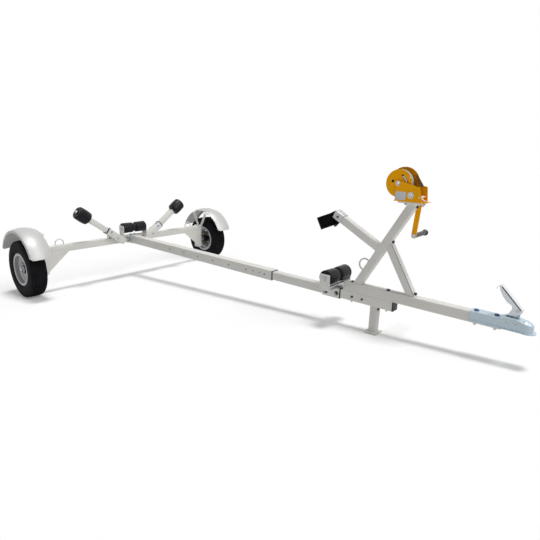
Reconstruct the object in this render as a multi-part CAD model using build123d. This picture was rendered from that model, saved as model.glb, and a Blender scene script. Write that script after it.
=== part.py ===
from build123d import *
import os
from math import asin, atan2, ceil, cos, degrees, pi, radians, sin, sqrt, tan

# A light boat trailer, bolted together from square steel tube: an axle with two wheels, a
# telescoping keel beam, two keel rollers, two side rollers, a winch post and a ball coupler.
# It is drawn with the beam level, in millimetres, from the middle of the wheel axis:
# +X forward, +Y left, +Z up. At the end it is set down on its wheels and its leg.

# ---- Square tube and plate stock
OUTER_TUBE = 60.0
OUTER_WALL = 4.5
TUBE = 50.0
TUBE_WALL = 3.0
ARM_TUBE = 40.0
PLATE = 5.0
SEAT_GAP = 0.1

# ---- Wheels
TRACK = 1690.0
TYRE_RADIUS = 205.0
TYRE_HALF_WIDTH = 57.5
TREAD_HALF_WIDTH = 46.0
TREAD_CROWN = 4.0
CARCASS = 9.0
BEAD_WIDTH = 10.0
BEAD_SEAT_RADIUS = 101.6
RIM_FLANGE_RADIUS = 116.5
RIM_HALF_WIDTH = 47.5
RIM_WALL = 2.5
RIM_WELL_RADIUS = 88.0
RIM_WELL_HALF_WIDTH = 14.0
DISC_THICKNESS = 3.2
DISC_DISH = 14.0
STUD_CIRCLE = 100.0
STUD_COUNT = 4
STUD_HOLE_RADIUS = 7.0
RIM_CENTRE_HOLE_RADIUS = 31.0
VENT_COUNT = 8
VENT_CIRCLE_RADIUS = 74.0
VENT_LENGTH = 20.0
VENT_WIDTH = 9.0
DISC_FLAT_MARGIN = 15.0

# ---- Hubs and stub axles
SPINDLE_RADIUS = 12.5
SPINDLE_SHOULDER_RADIUS = 17.0
SPINDLE_REACH = 22.0
HUB_RADIUS = 30.0
HUB_FLANGE_RADIUS = 64.0
HUB_FLANGE_THICKNESS = 9.0
HUB_INNER_END = -58.0
HUB_OUTER_END = 30.0
HUB_CAP_RADIUS = 24.0
HUB_CAP_HEIGHT = 16.0
RUNNING_GAP = 0.05
SIDE_GAP = 5.0

# ---- Axle
AXLE_Z = 110.0
CARRIER_INSET = 137.0
CARRIER_WIDTH = 42.0
CARRIER_TOP_Z = 142.0
CARRIER_BOTTOM_Z = -68.0
GUSSET_REACH = 158.0
GUSSET_BOTTOM_Z = -50.0

# ---- Keel beam and tongue
BEAM_Z = AXLE_Z
BEAM_REAR_END = 1589.0
INNER_TUBE_START = 500.0
INNER_TUBE_END = 2392.0
END_CAP_THICKNESS = 8.0
CAP_PLUG_LENGTH = 15.0
TONGUE_START = 2101.0
TONGUE_END = 2900.0
BEAM_HOLE_RADIUS = 5.5
FIRST_BEAM_HOLE_X = 571.0
BEAM_HOLE_PITCH = 160.0
BEAM_HOLE_COUNT = 7
ROOT_PLATE_WIDTH = 116.0
ROOT_CHEEK_LENGTH = 38.0

# ---- Fenders
FENDER_RADIUS = 282.0
FENDER_CENTRE_Z = 10.0
FENDER_SHEET = 2.0
FENDER_INSET = 77.0
FENDER_WIDTH = 145.0
FENDER_CROWN = 16.0
FENDER_END_ANGLE = 21.0
FENDER_LIP = 13.0
FENDER_CORNER = 26.0
STAY_BAR = 25.0
STAY_THICKNESS = 4.0
STAY_SPREAD_ANGLE = 19.0
STAY_TAB_ANGLE = 4.0
STAY_TAB_REACH = 62.0
STAY_FOOT_Z = 95.0

# ---- Keel rollers and their brackets
KEEL_ROLLER_LENGTH = 200.0
KEEL_ROLLER_RADIUS = 42.0
KEEL_ROLLER_WAIST_RADIUS = 40.0
KEEL_ROLLER_NECK_RADIUS = 32.0
KEEL_NECK_WIDTH = 14.0
KEEL_GROOVE_WIDTH = 44.0
KEEL_PIN_RADIUS = 8.0
KEEL_PIN_OVERHANG = 8.0
KEEL_ROLLER_HEIGHT = 68.0
KEEL_BRACKET_DEPTH = 64.0
KEEL_BRACKET_RISE = 90.0
KEEL_BRACKET_CORNER = 6.0
REAR_ROLLER_X = 38.0
FRONT_ROLLER_X = 2034.0
FRONT_CHEEK_LENGTH = 110.0
FRONT_CHEEK_OFFSET = -8.0
FRONT_CHEEK_DROP = 5.0

# ---- Side rollers on telescoping arms
ARM_ANGLE = 36.0
ARM_FOOT_Y = 142.0
ARM_FOOT_Z = 131.0
SLEEVE_BELOW_FOOT = 45.0
SLEEVE_ABOVE_FOOT = 130.0
ARM_IN_SLEEVE = 100.0
ARM_EXTENSION = 178.0
COLLAR_LENGTH = 22.0
COLLAR_INSERT = 14.0
SIDE_ROLLER_RADIUS = 52.0
SIDE_ROLLER_LENGTH = 104.0
SIDE_ROLLER_SHAFT_RADIUS = 8.0
SIDE_ROLLER_CROWN = 3.0
SIDE_ROLLER_CHAMFER = 7.0
ARM_BRACKET_START = 35.0
ARM_BRACKET_END = 110.0
ARM_BRACKET_RISE = 68.0

# ---- Parking leg
LEG_X = 2289.0
LEG_TUBE = 40.0
LEG_FOOT_Z = -63.5
FOOT_SIZE = 75.0
FOOT_THICKNESS = 6.0

# ---- Winch post, brace and bow stop
POST_FOOT_X = 2189.0
POST_LEAN = 30.0
POST_TOP_Z = 637.0
BRACE_DEPTH = 38.0
BRACE_WIDTH = 36.0
BRACE_WALL = 3.0
BRACE_TOP = (2334.0, 432.0)
BRACE_LEAN = 31.0
BOW_ARM_FOOT = (2283.0, 397.0)
BOW_ARM_RISE = 28.0
BOW_ARM_LENGTH = 262.0
BOW_BRACKET_START = 252.0
BOW_BRACKET_LENGTH = 54.0
BOW_BRACKET_BEND = 6.0
BOW_PAD_LEAN = 28.0
BOW_PAD_WING = 105.0
BOW_PAD_HEIGHT = 68.0
BOW_PAD_THICKNESS = 12.0
BOW_PAD_HALF_ANGLE = 45.0
BOW_PAD_RIDGE = (2020.7, 522.7)

# ---- Tie-down loops
LOOP_ROD_RADIUS = 4.0
LOOP_RADIUS = 31.0
LOOP_STEM = 14.0
AXLE_LOOP_INSET = 240.0
POST_LOOP_UP = 104.0

# ---- Winch
WINCH_BASE_X = 2350.0
WINCH_BASE_LENGTH = 156.0
WINCH_HALF_WIDTH = 37.0
WINCH_SHEET = 3.0
WINCH_MOUNT = 8.0
WINCH_MOUNT_X = 2371.0
WINCH_MOUNT_LENGTH = 118.0
RIGHT_PLATE_OUTLINE = (
    (6.0, 0.0), (140.0, 0.0), (125.0, 69.0), (21.0, 97.0), (2.0, 88.0), (6.0, 45.0))
LEFT_PLATE_OUTLINE = ((6.0, 0.0), (140.0, 0.0), (132.0, 71.0), (113.0, 74.0), (74.0, 130.0))
DRUM_X = 2366.0
DRUM_Z = 727.5
DRUM_RADIUS = 22.0
DRUM_FLANGE_RADIUS = 66.0
DRUM_FLANGE_THICKNESS = 2.5
DRUM_SHAFT_RADIUS = 8.0
SHAFT_EAR_RADIUS = 16.0
SHAFT_OVERHANG = 6.0
GEAR_MODULE = 2.5
GEAR_TEETH = 52
PINION_TEETH = 16
GEAR_WIDTH = 8.0
GEAR_Y = 14.0
TOOTH_SHARE = 0.42
PRESSURE_ANGLE = 20.0
CRANK_SHAFT_RADIUS = 8.0
CRANK_DIRECTION = -36.75
CRANK_ARM_Y = 84.0
CRANK_ARM_LENGTH = 211.0
CRANK_ARM_WIDTH = 25.0
CRANK_ARM_THICKNESS = 6.0
CRANK_HANG = 4.1
GRIP_PIN_RADIUS = 6.0
GRIP_RADIUS = 13.0
GRIP_LENGTH = 140.0
GRIP_GAP = 3.0
GRIP_WAVES = ((0.0, 0.0), (0.15, -2.0), (0.4, 0.0), (0.87, -2.0), (0.94, 4.0), (1.0, 4.0))
GUARD_RADIUS = 76.0
RATCHET_RADIUS = 20.0
RATCHET_ROOT_RADIUS = 15.0
RATCHET_TEETH = 10
RATCHET_WIDTH = 6.0
RATCHET_Y = -9.0
PAWL_TIP = (2464.0, 684.0)
PAWL_BEND = (2476.0, 663.0)
PAWL_END = (2513.0, 651.5)
PAWL_SHEET = 3.0
PAWL_WIDTH = 16.0
PAWL_Y = -6.0
PAWL_PIN = (2476.0, 670.0)
PAWL_PIN_RADIUS = 3.0
PAWL_HUB_RADIUS = 6.0

# ---- Coupler
COUPLER_REAR_X = 2766.0
COUPLER_SHEET = 4.0
COUPLER_RISE = 8.0
COUPLER_RISE_START = 2885.0
COUPLER_RISE_END = 2905.0
NOSE_SLOPE_START = 2953.0
BALL_X = 2988.0
BALL_Z = 163.0
BALL_RADIUS = 25.0
BALL_CLEARANCE = 0.4
DOME_SHEET = 6.0
NOSE_RADIUS = 33.0
NOSE_Z = 177.0
TUNNEL_END = 2945.0
SKIRT_Z = 143.0
SKIRT_WIDTH = 12.0
SIDE_SKIRT_WIDTH = 4.0
LATCH_PIVOT = (2951.0, 228.5)
LATCH_STRIP = ((16.0, -4.5), (17.8, 7.5), (-74.3, 99.7), (-84.9, 97.6), (-98.0, 81.2))
LATCH_CHEEK = (
    (17.0, 7.0), (16.0, -4.6), (-5.7, -24.3), (-34.0, -18.3), (-22.3, 7.6), (-25.4, 20.4),
    (-45.5, 31.2), (-64.5, 51.5), (-80.6, 79.5), (-84.5, 97.0), (-74.5, 99.0))
LATCH_WIDTH = 28.0
LATCH_CHEEK_WIDTH = 24.0
LATCH_SHEET = 2.5
LATCH_PIN_RADIUS = 4.0
LATCH_LUG_WIDTH = 10.0
LATCH_LUG_RADIUS = 10.0
LATCH_SLOT = (2908.0, 2956.0)


parts = {}


def tube_along_x(side, wall, start, end, z=0.0):
    """Square tube lying along X, centred on Y=0."""
    length = end - start
    outside = Box(length, side, side)
    inside = Box(length + 2, side - 2 * wall, side - 2 * wall)
    return Pos((start + end) / 2, 0, z) * (outside - inside)


def square_tube(side, wall, length):
    """Square tube along +Z from the origin."""
    foot = (Align.CENTER, Align.CENTER, Align.MIN)
    outside = Box(side, side, length, align=foot)
    inside = Box(side - 2 * wall, side - 2 * wall, length, align=foot)
    return outside - inside


def cross_pin(radius, length, x, z, y=0.0):
    """Round bar along Y, centred at x, y, z."""
    return Pos(x, y, z) * Rot(90, 0, 0) * Cylinder(radius, length)


def revolved_edges(edges, arc=360.0):
    """Solid of revolution about Z from a closed run of edges in (radius, height)."""
    return revolve(Plane.XZ * make_face(Curve() + list(edges)), Axis.Z, arc)


def revolved(points, arc=360.0):
    """Solid of revolution about Z from (radius, height) points in the XZ plane."""
    return revolved_edges((Polyline(*points, close=True),), arc)


def outward(side, shape):
    """Turn a shape drawn outward along +Z so that it points to the left (1) or right (-1)."""
    return Rot(-90 * side, 0, 0) * shape


def half(length):
    return length / 2


def outline_plate(outline, thickness, y):
    """A sheet-metal outline of (x, z) points and arcs, as a plate along Y from y outwards."""
    return Pos(0, y, 0) * extrude(Plane.XZ * outline, -thickness)


from_start = (Align.MIN, Align.CENTER, Align.CENTER)
standing = (Align.CENTER, Align.CENTER, Align.MIN)
hanging = (Align.CENTER, Align.CENTER, Align.MAX)


# ---- Axle, hub carriers and stub axles
wheel_y = half(TRACK)
carrier_face_y = wheel_y - CARRIER_INSET
axle_tube = Rot(90, 0, 0) * Pos(0, 0, -carrier_face_y) * square_tube(TUBE, TUBE_WALL, 2 * carrier_face_y)
parts["axle_tube"] = Pos(0, 0, AXLE_Z) * axle_tube

axle_bottom = AXLE_Z - half(TUBE)
axle_top = AXLE_Z + half(TUBE)
axle_front = half(TUBE)
carrier_outer_y = carrier_face_y + CARRIER_WIDTH

sides = (("left", 1), ("right", -1))

for side_name, side in sides:
    carrier_mid_y = side * (carrier_face_y + half(CARRIER_WIDTH))
    carrier_height = CARRIER_TOP_Z - CARRIER_BOTTOM_Z
    carrier_mid_z = half(CARRIER_TOP_Z + CARRIER_BOTTOM_Z)
    post = Box(TUBE, CARRIER_WIDTH, carrier_height)
    hollow = Box(TUBE - 2 * PLATE, CARRIER_WIDTH - 2 * PLATE, carrier_height + 2)
    carrier = Pos(0, carrier_mid_y, carrier_mid_z) * (post - hollow)
    carrier -= cross_pin(SPINDLE_SHOULDER_RADIUS, CARRIER_WIDTH + 2, 0, 0, carrier_mid_y)
    gusset_face = make_face(Polyline(
        (side * carrier_face_y, axle_bottom),
        (side * (carrier_face_y - GUSSET_REACH), axle_bottom),
        (side * carrier_face_y, GUSSET_BOTTOM_Z),
        close=True))
    gusset = Pos(axle_front, 0, 0) * extrude(Plane.YZ * gusset_face, -PLATE)
    parts["hub_carrier_" + side_name] = carrier + gusset

    shoulder_end = wheel_y + HUB_INNER_END - 2
    spindle = revolved((
        (0, carrier_face_y),
        (SPINDLE_SHOULDER_RADIUS, carrier_face_y),
        (SPINDLE_SHOULDER_RADIUS, shoulder_end),
        (SPINDLE_RADIUS, shoulder_end),
        (SPINDLE_RADIUS, wheel_y + SPINDLE_REACH),
        (0, wheel_y + SPINDLE_REACH)))
    parts["spindle_" + side_name] = outward(side, spindle)

# ---- Wheels: pressed steel rim, tyre, hub
flange_out = RIM_HALF_WIDTH + RIM_WALL
well_slope = RIM_WELL_HALF_WIDTH + 10
barrel_outside = (
    (RIM_FLANGE_RADIUS, -flange_out), (RIM_FLANGE_RADIUS, -RIM_HALF_WIDTH),
    (BEAD_SEAT_RADIUS, -RIM_HALF_WIDTH), (BEAD_SEAT_RADIUS, -well_slope),
    (RIM_WELL_RADIUS, -RIM_WELL_HALF_WIDTH), (RIM_WELL_RADIUS, RIM_WELL_HALF_WIDTH),
    (BEAD_SEAT_RADIUS, well_slope), (BEAD_SEAT_RADIUS, RIM_HALF_WIDTH),
    (RIM_FLANGE_RADIUS, RIM_HALF_WIDTH), (RIM_FLANGE_RADIUS, flange_out))
bead_inside = BEAD_SEAT_RADIUS - RIM_WALL
well_inside = RIM_WELL_RADIUS - RIM_WALL
barrel_inside = (
    (bead_inside, flange_out), (bead_inside, well_slope + 1),
    (well_inside, RIM_WELL_HALF_WIDTH + 1), (well_inside, -RIM_WELL_HALF_WIDTH - 1),
    (bead_inside, -well_slope - 1), (bead_inside, -flange_out))
barrel = revolved(barrel_outside + barrel_inside)

dish_radius = half(STUD_CIRCLE) + DISC_FLAT_MARGIN
wheel_disc = revolved((
    (RIM_CENTRE_HOLE_RADIUS, -DISC_THICKNESS), (dish_radius, -DISC_THICKNESS),
    (well_inside + 1, DISC_DISH - DISC_THICKNESS), (well_inside + 1, DISC_DISH),
    (dish_radius - 2, 0), (RIM_CENTRE_HOLE_RADIUS, 0)))
stud_holes = PolarLocations(half(STUD_CIRCLE), STUD_COUNT, start_angle=45)
wheel_disc -= stud_holes * Cylinder(STUD_HOLE_RADIUS, 4 * DISC_THICKNESS)
vent = extrude(SlotOverall(VENT_LENGTH, VENT_WIDTH, rotation=90), DISC_DISH + 8, both=True)
wheel_disc -= PolarLocations(VENT_CIRCLE_RADIUS, VENT_COUNT, start_angle=22.5) * vent
rim = barrel + wheel_disc

tread_edge_radius = TYRE_RADIUS - TREAD_CROWN
bead_top_radius = RIM_FLANGE_RADIUS + 2
widest_radius = half(tread_edge_radius + bead_top_radius)
bead_top_width = RIM_HALF_WIDTH + 2
bead_half_width = RIM_HALF_WIDTH - SEAT_GAP
bead_radius = BEAD_SEAT_RADIUS + SEAT_GAP
liner_edge_radius = tread_edge_radius - 2 * CARCASS
liner_edge_width = TREAD_HALF_WIDTH - half(CARCASS)
liner_foot_width = bead_half_width - BEAD_WIDTH + 3
quarter_turn = cos(radians(45))


def bulge(widest, end):
    """Quarter of an ellipse from the widest point of the sidewall to its end."""
    middle_radius = widest[0] + (end[0] - widest[0]) * quarter_turn
    middle_width = end[1] + (widest[1] - end[1]) * quarter_turn
    return ThreePointArc(widest, (middle_radius, middle_width), end)


def sidewall(side):
    """One side of the tyre's section, from the edge of the tread round the bead to the inside."""
    width = side * TYRE_HALF_WIDTH
    liner_foot = (bead_top_radius, side * liner_foot_width)
    return (
        bulge((widest_radius, width), (tread_edge_radius, side * TREAD_HALF_WIDTH)),
        bulge((widest_radius, width), (bead_top_radius, side * bead_top_width)),
        Polyline(
            (bead_top_radius, side * bead_top_width), (bead_top_radius, side * bead_half_width),
            (bead_radius, side * bead_half_width),
            (bead_radius, side * (bead_half_width - BEAD_WIDTH)), liner_foot),
        ThreePointArc(
            liner_foot, (widest_radius, width - side * CARCASS),
            (liner_edge_radius, side * liner_edge_width)))


tread_arc = ThreePointArc(
    (tread_edge_radius, -TREAD_HALF_WIDTH), (TYRE_RADIUS, 0), (tread_edge_radius, TREAD_HALF_WIDTH))
liner_arc = ThreePointArc(
    (liner_edge_radius, -liner_edge_width), (TYRE_RADIUS - CARCASS - TREAD_CROWN, 0),
    (liner_edge_radius, liner_edge_width))
tyre = revolved_edges((tread_arc, liner_arc) + sidewall(1) + sidewall(-1))

hub_bore = SPINDLE_RADIUS + RUNNING_GAP
bore_end = SPINDLE_REACH + 3
hub = revolved((
    (hub_bore, HUB_INNER_END), (HUB_RADIUS, HUB_INNER_END),
    (HUB_RADIUS, -DISC_THICKNESS - HUB_FLANGE_THICKNESS),
    (HUB_FLANGE_RADIUS, -DISC_THICKNESS - HUB_FLANGE_THICKNESS),
    (HUB_FLANGE_RADIUS, -DISC_THICKNESS), (HUB_RADIUS, -DISC_THICKNESS),
    (HUB_RADIUS, HUB_OUTER_END), (HUB_CAP_RADIUS, HUB_OUTER_END),
    (HUB_CAP_RADIUS - 2, HUB_OUTER_END + HUB_CAP_HEIGHT - 4),
    (HUB_CAP_RADIUS - 7, HUB_OUTER_END + HUB_CAP_HEIGHT), (0, HUB_OUTER_END + HUB_CAP_HEIGHT),
    (0, bore_end), (hub_bore, bore_end)))

for side_name, side in sides:
    wheel_centre = Pos(0, side * wheel_y, 0)
    parts["rim_" + side_name] = wheel_centre * outward(side, rim)
    parts["tyre_" + side_name] = wheel_centre * outward(side, tyre)
    parts["hub_" + side_name] = wheel_centre * outward(side, hub)

# ---- Keel beam: outer tube, inner tube, tongue
beam_start = axle_front + PLATE
beam_tube = tube_along_x(OUTER_TUBE, OUTER_WALL, beam_start, BEAM_REAR_END, BEAM_Z)
hole_xs = [FIRST_BEAM_HOLE_X + k * BEAM_HOLE_PITCH for k in range(BEAM_HOLE_COUNT)]
for hole_x in hole_xs:
    beam_tube -= cross_pin(BEAM_HOLE_RADIUS, OUTER_TUBE + 2, hole_x, BEAM_Z)
parts["beam_rear_tube"] = beam_tube
parts["beam_front_tube"] = tube_along_x(TUBE, TUBE_WALL, INNER_TUBE_START, INNER_TUBE_END, BEAM_Z)
plug_side = TUBE - 2 * TUBE_WALL - 2 * SEAT_GAP
cap_plate = Box(END_CAP_THICKNESS, TUBE, TUBE, align=from_start)
cap_plug = Box(CAP_PLUG_LENGTH, plug_side, plug_side, align=(Align.MAX, Align.CENTER, Align.CENTER))
parts["beam_end_cap"] = Pos(INNER_TUBE_END, 0, BEAM_Z) * (cap_plate + cap_plug)
tongue_z = BEAM_Z + TUBE
tongue_top = tongue_z + half(TUBE)
parts["tongue_tube"] = tube_along_x(TUBE, TUBE_WALL, TONGUE_START, TONGUE_END, tongue_z)

root_plate = Pos(axle_front + half(PLATE), 0, BEAM_Z) * Box(PLATE, ROOT_PLATE_WIDTH, OUTER_TUBE)
root_bracket = root_plate
for side_name, side in sides:
    cheek_y = side * (half(OUTER_TUBE) + half(PLATE))
    cheek = Box(ROOT_CHEEK_LENGTH, PLATE, OUTER_TUBE, align=from_start)
    root_bracket += Pos(beam_start, cheek_y, BEAM_Z) * cheek
parts["beam_root_bracket"] = root_bracket

# ---- Fenders and their stays
fender_inner_y = wheel_y - FENDER_INSET
fender_outer_y = fender_inner_y + FENDER_WIDTH
fender_mid_y = half(fender_inner_y + fender_outer_y)
crown_bend = (half(FENDER_WIDTH) ** 2 + FENDER_CROWN ** 2) / (2 * FENDER_CROWN)
lip_inner_y = fender_outer_y - FENDER_SHEET


def fender_skin(y, depth):
    """Radius and y of a point of the crowned skin, a depth below its outer face."""
    sag = crown_bend - sqrt(crown_bend ** 2 - (y - fender_mid_y) ** 2)
    return (FENDER_RADIUS - depth - sag, y)


def skin_arc(start_y, end_y, depth):
    """The skin's section between two places across the fender."""
    middle = fender_skin(half(start_y + end_y), depth)
    return ThreePointArc(fender_skin(start_y, depth), middle, fender_skin(end_y, depth))


def arch(section, start_angle, end_angle):
    """Revolve (radius, y) edges about the fender's axis, from one angle to another above +X."""
    return Rot(0, 0, start_angle) * revolved_edges(section, end_angle - start_angle)


def on_wheel_arch(side, shape):
    """Stand an arch drawn about +Z up around the fender's axis, on the left or the right."""
    upright = Rot(90, 0, 0) * shape
    if side > 0:
        upright = mirror(upright, Plane.XZ)
    return Pos(0, 0, FENDER_CENTRE_Z) * upright


def corner_waste(angle, along, y, across):
    """What is cut off to round a corner of the fender; along and across point into the sheet."""
    square = Box(FENDER_RADIUS, 2 * FENDER_CORNER, 2 * FENDER_CORNER)
    keep = Pos(0, along * FENDER_CORNER, across * FENDER_CORNER) * Rot(0, 90, 0) * Cylinder(
        FENDER_CORNER, FENDER_RADIUS)
    return Rot(0, 0, angle) * Pos(FENDER_RADIUS, 0, y) * (square - keep)


outer_edge = fender_skin(fender_outer_y, 0)
lip_radius = outer_edge[0] - FENDER_LIP
fender_arc = (FENDER_END_ANGLE, 180 - FENDER_END_ANGLE)
fender = arch((
    skin_arc(fender_inner_y, fender_outer_y, 0),
    Polyline(
        outer_edge, (lip_radius, fender_outer_y), (lip_radius, lip_inner_y),
        fender_skin(lip_inner_y, FENDER_SHEET)),
    skin_arc(fender_inner_y, lip_inner_y, FENDER_SHEET),
    Line(fender_skin(fender_inner_y, FENDER_SHEET), fender_skin(fender_inner_y, 0))), *fender_arc)
for end_angle, along in zip(fender_arc, (1, -1)):
    fender -= corner_waste(end_angle, along, fender_inner_y, 1)
    fender -= corner_waste(end_angle, along, fender_outer_y, -1)

stay_y = carrier_outer_y
stay_outer_y = stay_y + STAY_THICKNESS
tab_end_y = stay_y + STAY_TAB_REACH
tab_depth = FENDER_SHEET + STAY_THICKNESS
tab_section = (
    skin_arc(stay_y, tab_end_y, FENDER_SHEET),
    Line(fender_skin(tab_end_y, FENDER_SHEET), fender_skin(tab_end_y, tab_depth)),
    skin_arc(stay_y, tab_end_y, tab_depth),
    Line(fender_skin(stay_y, tab_depth), fender_skin(stay_y, FENDER_SHEET)))
above_tab = arch((
    skin_arc(stay_y, stay_outer_y, FENDER_SHEET),
    Polyline(
        fender_skin(stay_outer_y, FENDER_SHEET), (FENDER_RADIUS + STAY_BAR, stay_outer_y),
        (FENDER_RADIUS + STAY_BAR, stay_y), fender_skin(stay_y, FENDER_SHEET))), 0, 180)
tip_radius = fender_skin(half(stay_y + stay_outer_y), FENDER_SHEET)[0]
for side_name, side in sides:
    parts["fender_" + side_name] = on_wheel_arch(side, fender)
    tabs = None
    bars = None
    for direction in (90 - STAY_SPREAD_ANGLE, 90 + STAY_SPREAD_ANGLE):
        tab = arch(tab_section, direction - STAY_TAB_ANGLE, direction + STAY_TAB_ANGLE)
        tip_x = tip_radius * cos(radians(direction))
        tip_z = FENDER_CENTRE_Z + tip_radius * sin(radians(direction)) - STAY_FOOT_Z
        bar = Box(STAY_BAR, STAY_THICKNESS, sqrt(tip_x ** 2 + tip_z ** 2), align=standing)
        bar = Rot(0, degrees(atan2(tip_x, tip_z)), 0) * bar
        tabs = tab if tabs is None else tabs + tab
        bars = bar if bars is None else bars + bar
    bars = Pos(0, side * half(stay_y + stay_outer_y), STAY_FOOT_Z) * bars
    bars -= on_wheel_arch(side, above_tab)
    parts["fender_stay_" + side_name] = bars + on_wheel_arch(side, tabs)

# ---- Keel rollers: hourglass rubber rollers on pins between bracket plates
roller_half = half(KEEL_ROLLER_LENGTH)
bracket_half = roller_half + SIDE_GAP
keel_bore = KEEL_PIN_RADIUS + RUNNING_GAP
groove = half(KEEL_GROOVE_WIDTH)
neck = half(KEEL_NECK_WIDTH)
keel_roller = revolved((
    (keel_bore, -roller_half), (KEEL_ROLLER_RADIUS, -roller_half),
    (KEEL_ROLLER_WAIST_RADIUS, -groove), (KEEL_ROLLER_NECK_RADIUS, -neck),
    (KEEL_ROLLER_NECK_RADIUS, neck), (KEEL_ROLLER_WAIST_RADIUS, groove),
    (KEEL_ROLLER_RADIUS, roller_half), (keel_bore, roller_half)))


def keel_bracket(x, base_z):
    """Plate bent up at both ends, with a pin hole in each end."""
    width = 2 * (bracket_half + PLATE)
    block = Box(KEEL_BRACKET_DEPTH, width, KEEL_BRACKET_RISE, align=standing)
    block = fillet(block.edges().filter_by(Axis.Y).group_by(Axis.Z)[-1], KEEL_BRACKET_CORNER)
    gap = Box(KEEL_BRACKET_DEPTH + 2, 2 * bracket_half, KEEL_BRACKET_RISE, align=standing)
    bracket = Pos(x, 0, base_z) * (block - Pos(0, 0, PLATE) * gap)
    return bracket - cross_pin(keel_bore, width + 2, x, base_z + KEEL_ROLLER_HEIGHT)


beam_top = BEAM_Z + half(OUTER_TUBE)
inner_top = BEAM_Z + half(TUBE)
rear_roller_z = beam_top + KEEL_ROLLER_HEIGHT
front_roller_z = inner_top + KEEL_ROLLER_HEIGHT
pin_length = 2 * (bracket_half + PLATE + KEEL_PIN_OVERHANG)
parts["rear_roller_bracket"] = keel_bracket(REAR_ROLLER_X, beam_top)
front_bracket = keel_bracket(FRONT_ROLLER_X, inner_top)
for side_name, side in sides:
    cheek_y = side * (half(TUBE) + half(PLATE))
    cheek = Box(FRONT_CHEEK_LENGTH, PLATE, TUBE + FRONT_CHEEK_DROP, align=hanging)
    front_bracket += Pos(FRONT_ROLLER_X + FRONT_CHEEK_OFFSET, cheek_y, inner_top) * cheek
parts["front_roller_bracket"] = front_bracket
roller_places = (("rear", REAR_ROLLER_X, rear_roller_z), ("front", FRONT_ROLLER_X, front_roller_z))
for place_name, roller_x, roller_z in roller_places:
    parts[place_name + "_roller_pin"] = cross_pin(KEEL_PIN_RADIUS, pin_length, roller_x, roller_z)
    parts[place_name + "_keel_roller"] = Pos(roller_x, 0, roller_z) * Rot(90, 0, 0) * keel_roller

# ---- Side rollers: sleeves bolted to the axle, arms that slide in them, barrel rollers
sleeve_x = axle_front + PLATE + half(TUBE)
sleeve_length = SLEEVE_BELOW_FOOT + SLEEVE_ABOVE_FOOT
arm_start = SLEEVE_ABOVE_FOOT - ARM_IN_SLEEVE
arm_end = SLEEVE_ABOVE_FOOT + ARM_EXTENSION
arm_inner = TUBE - 2 * TUBE_WALL
roller_start = arm_end + SIDE_GAP
shaft_length = SIDE_ROLLER_LENGTH + 2 * SIDE_GAP + SIDE_ROLLER_SHAFT_RADIUS
side_bore = SIDE_ROLLER_SHAFT_RADIUS + RUNNING_GAP
rim_radius = SIDE_ROLLER_RADIUS - SIDE_ROLLER_CROWN
face_radius = rim_radius - SIDE_ROLLER_CHAMFER
far_chamfer = SIDE_ROLLER_LENGTH - SIDE_ROLLER_CHAMFER
side_roller = revolved_edges((
    Polyline(
        (rim_radius, far_chamfer), (face_radius, SIDE_ROLLER_LENGTH), (side_bore, SIDE_ROLLER_LENGTH),
        (side_bore, 0), (face_radius, 0), (rim_radius, SIDE_ROLLER_CHAMFER)),
    ThreePointArc(
        (rim_radius, SIDE_ROLLER_CHAMFER), (SIDE_ROLLER_RADIUS, half(SIDE_ROLLER_LENGTH)),
        (rim_radius, far_chamfer))))
collar_head = COLLAR_LENGTH - COLLAR_INSERT
collar = Box(TUBE, TUBE, collar_head, align=standing)
collar += Box(arm_inner, arm_inner, COLLAR_INSERT, align=hanging)
collar -= Box(ARM_TUBE, ARM_TUBE, 4 * COLLAR_LENGTH)
collars = []


def on_arm(side, distance, shape):
    """Put a shape drawn along +Z on the arm's axis, a distance up from its foot."""
    along = Rot(-side * (90 - ARM_ANGLE), 0, 0) * Pos(0, 0, distance) * shape
    return Pos(sleeve_x, side * ARM_FOOT_Y, ARM_FOOT_Z) * along


for side_name, side in sides:
    sleeve = on_arm(side, -SLEEVE_BELOW_FOOT, square_tube(TUBE, TUBE_WALL, sleeve_length))
    parts["side_arm_sleeve_" + side_name] = sleeve
    arm = square_tube(ARM_TUBE, TUBE_WALL, arm_end - arm_start)
    arm_tip = Box(ARM_TUBE, ARM_TUBE, PLATE, align=hanging)
    arm_tip += Cylinder(SIDE_ROLLER_SHAFT_RADIUS, shaft_length, align=standing)
    arm += Pos(0, 0, arm_end - arm_start) * arm_tip
    parts["side_arm_" + side_name] = on_arm(side, arm_start, arm)
    parts["side_roller_" + side_name] = on_arm(side, roller_start, side_roller)
    collars.append(on_arm(side, SLEEVE_ABOVE_FOOT, collar))
    bracket_start = side * (ARM_FOOT_Y - ARM_BRACKET_START)
    bracket_end = side * (ARM_FOOT_Y + ARM_BRACKET_END)
    bracket_face = make_face(Polyline(
        (bracket_start, axle_bottom + PLATE), (bracket_end, axle_bottom + PLATE),
        (bracket_end, axle_top + 2 * PLATE),
        (bracket_end - side * 3 * PLATE, ARM_FOOT_Z + ARM_BRACKET_RISE),
        (side * (ARM_FOOT_Y + PLATE), ARM_FOOT_Z + PLATE), (bracket_start, axle_top), close=True))
    bracket = Pos(axle_front, 0, 0) * extrude(Plane.YZ * bracket_face, PLATE)
    parts["side_arm_bracket_" + side_name] = bracket

parts["side_arm_collars"] = Compound(collars)

# ---- Parking leg
leg_top = BEAM_Z - half(TUBE)
foot_top = LEG_FOOT_Z + FOOT_THICKNESS
leg = Pos(LEG_X, 0, foot_top) * square_tube(LEG_TUBE, TUBE_WALL, leg_top - foot_top)
foot = Pos(LEG_X, 0, LEG_FOOT_Z + half(FOOT_THICKNESS)) * Box(FOOT_SIZE, FOOT_SIZE, FOOT_THICKNESS)
parts["parking_leg"] = leg + foot

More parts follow.
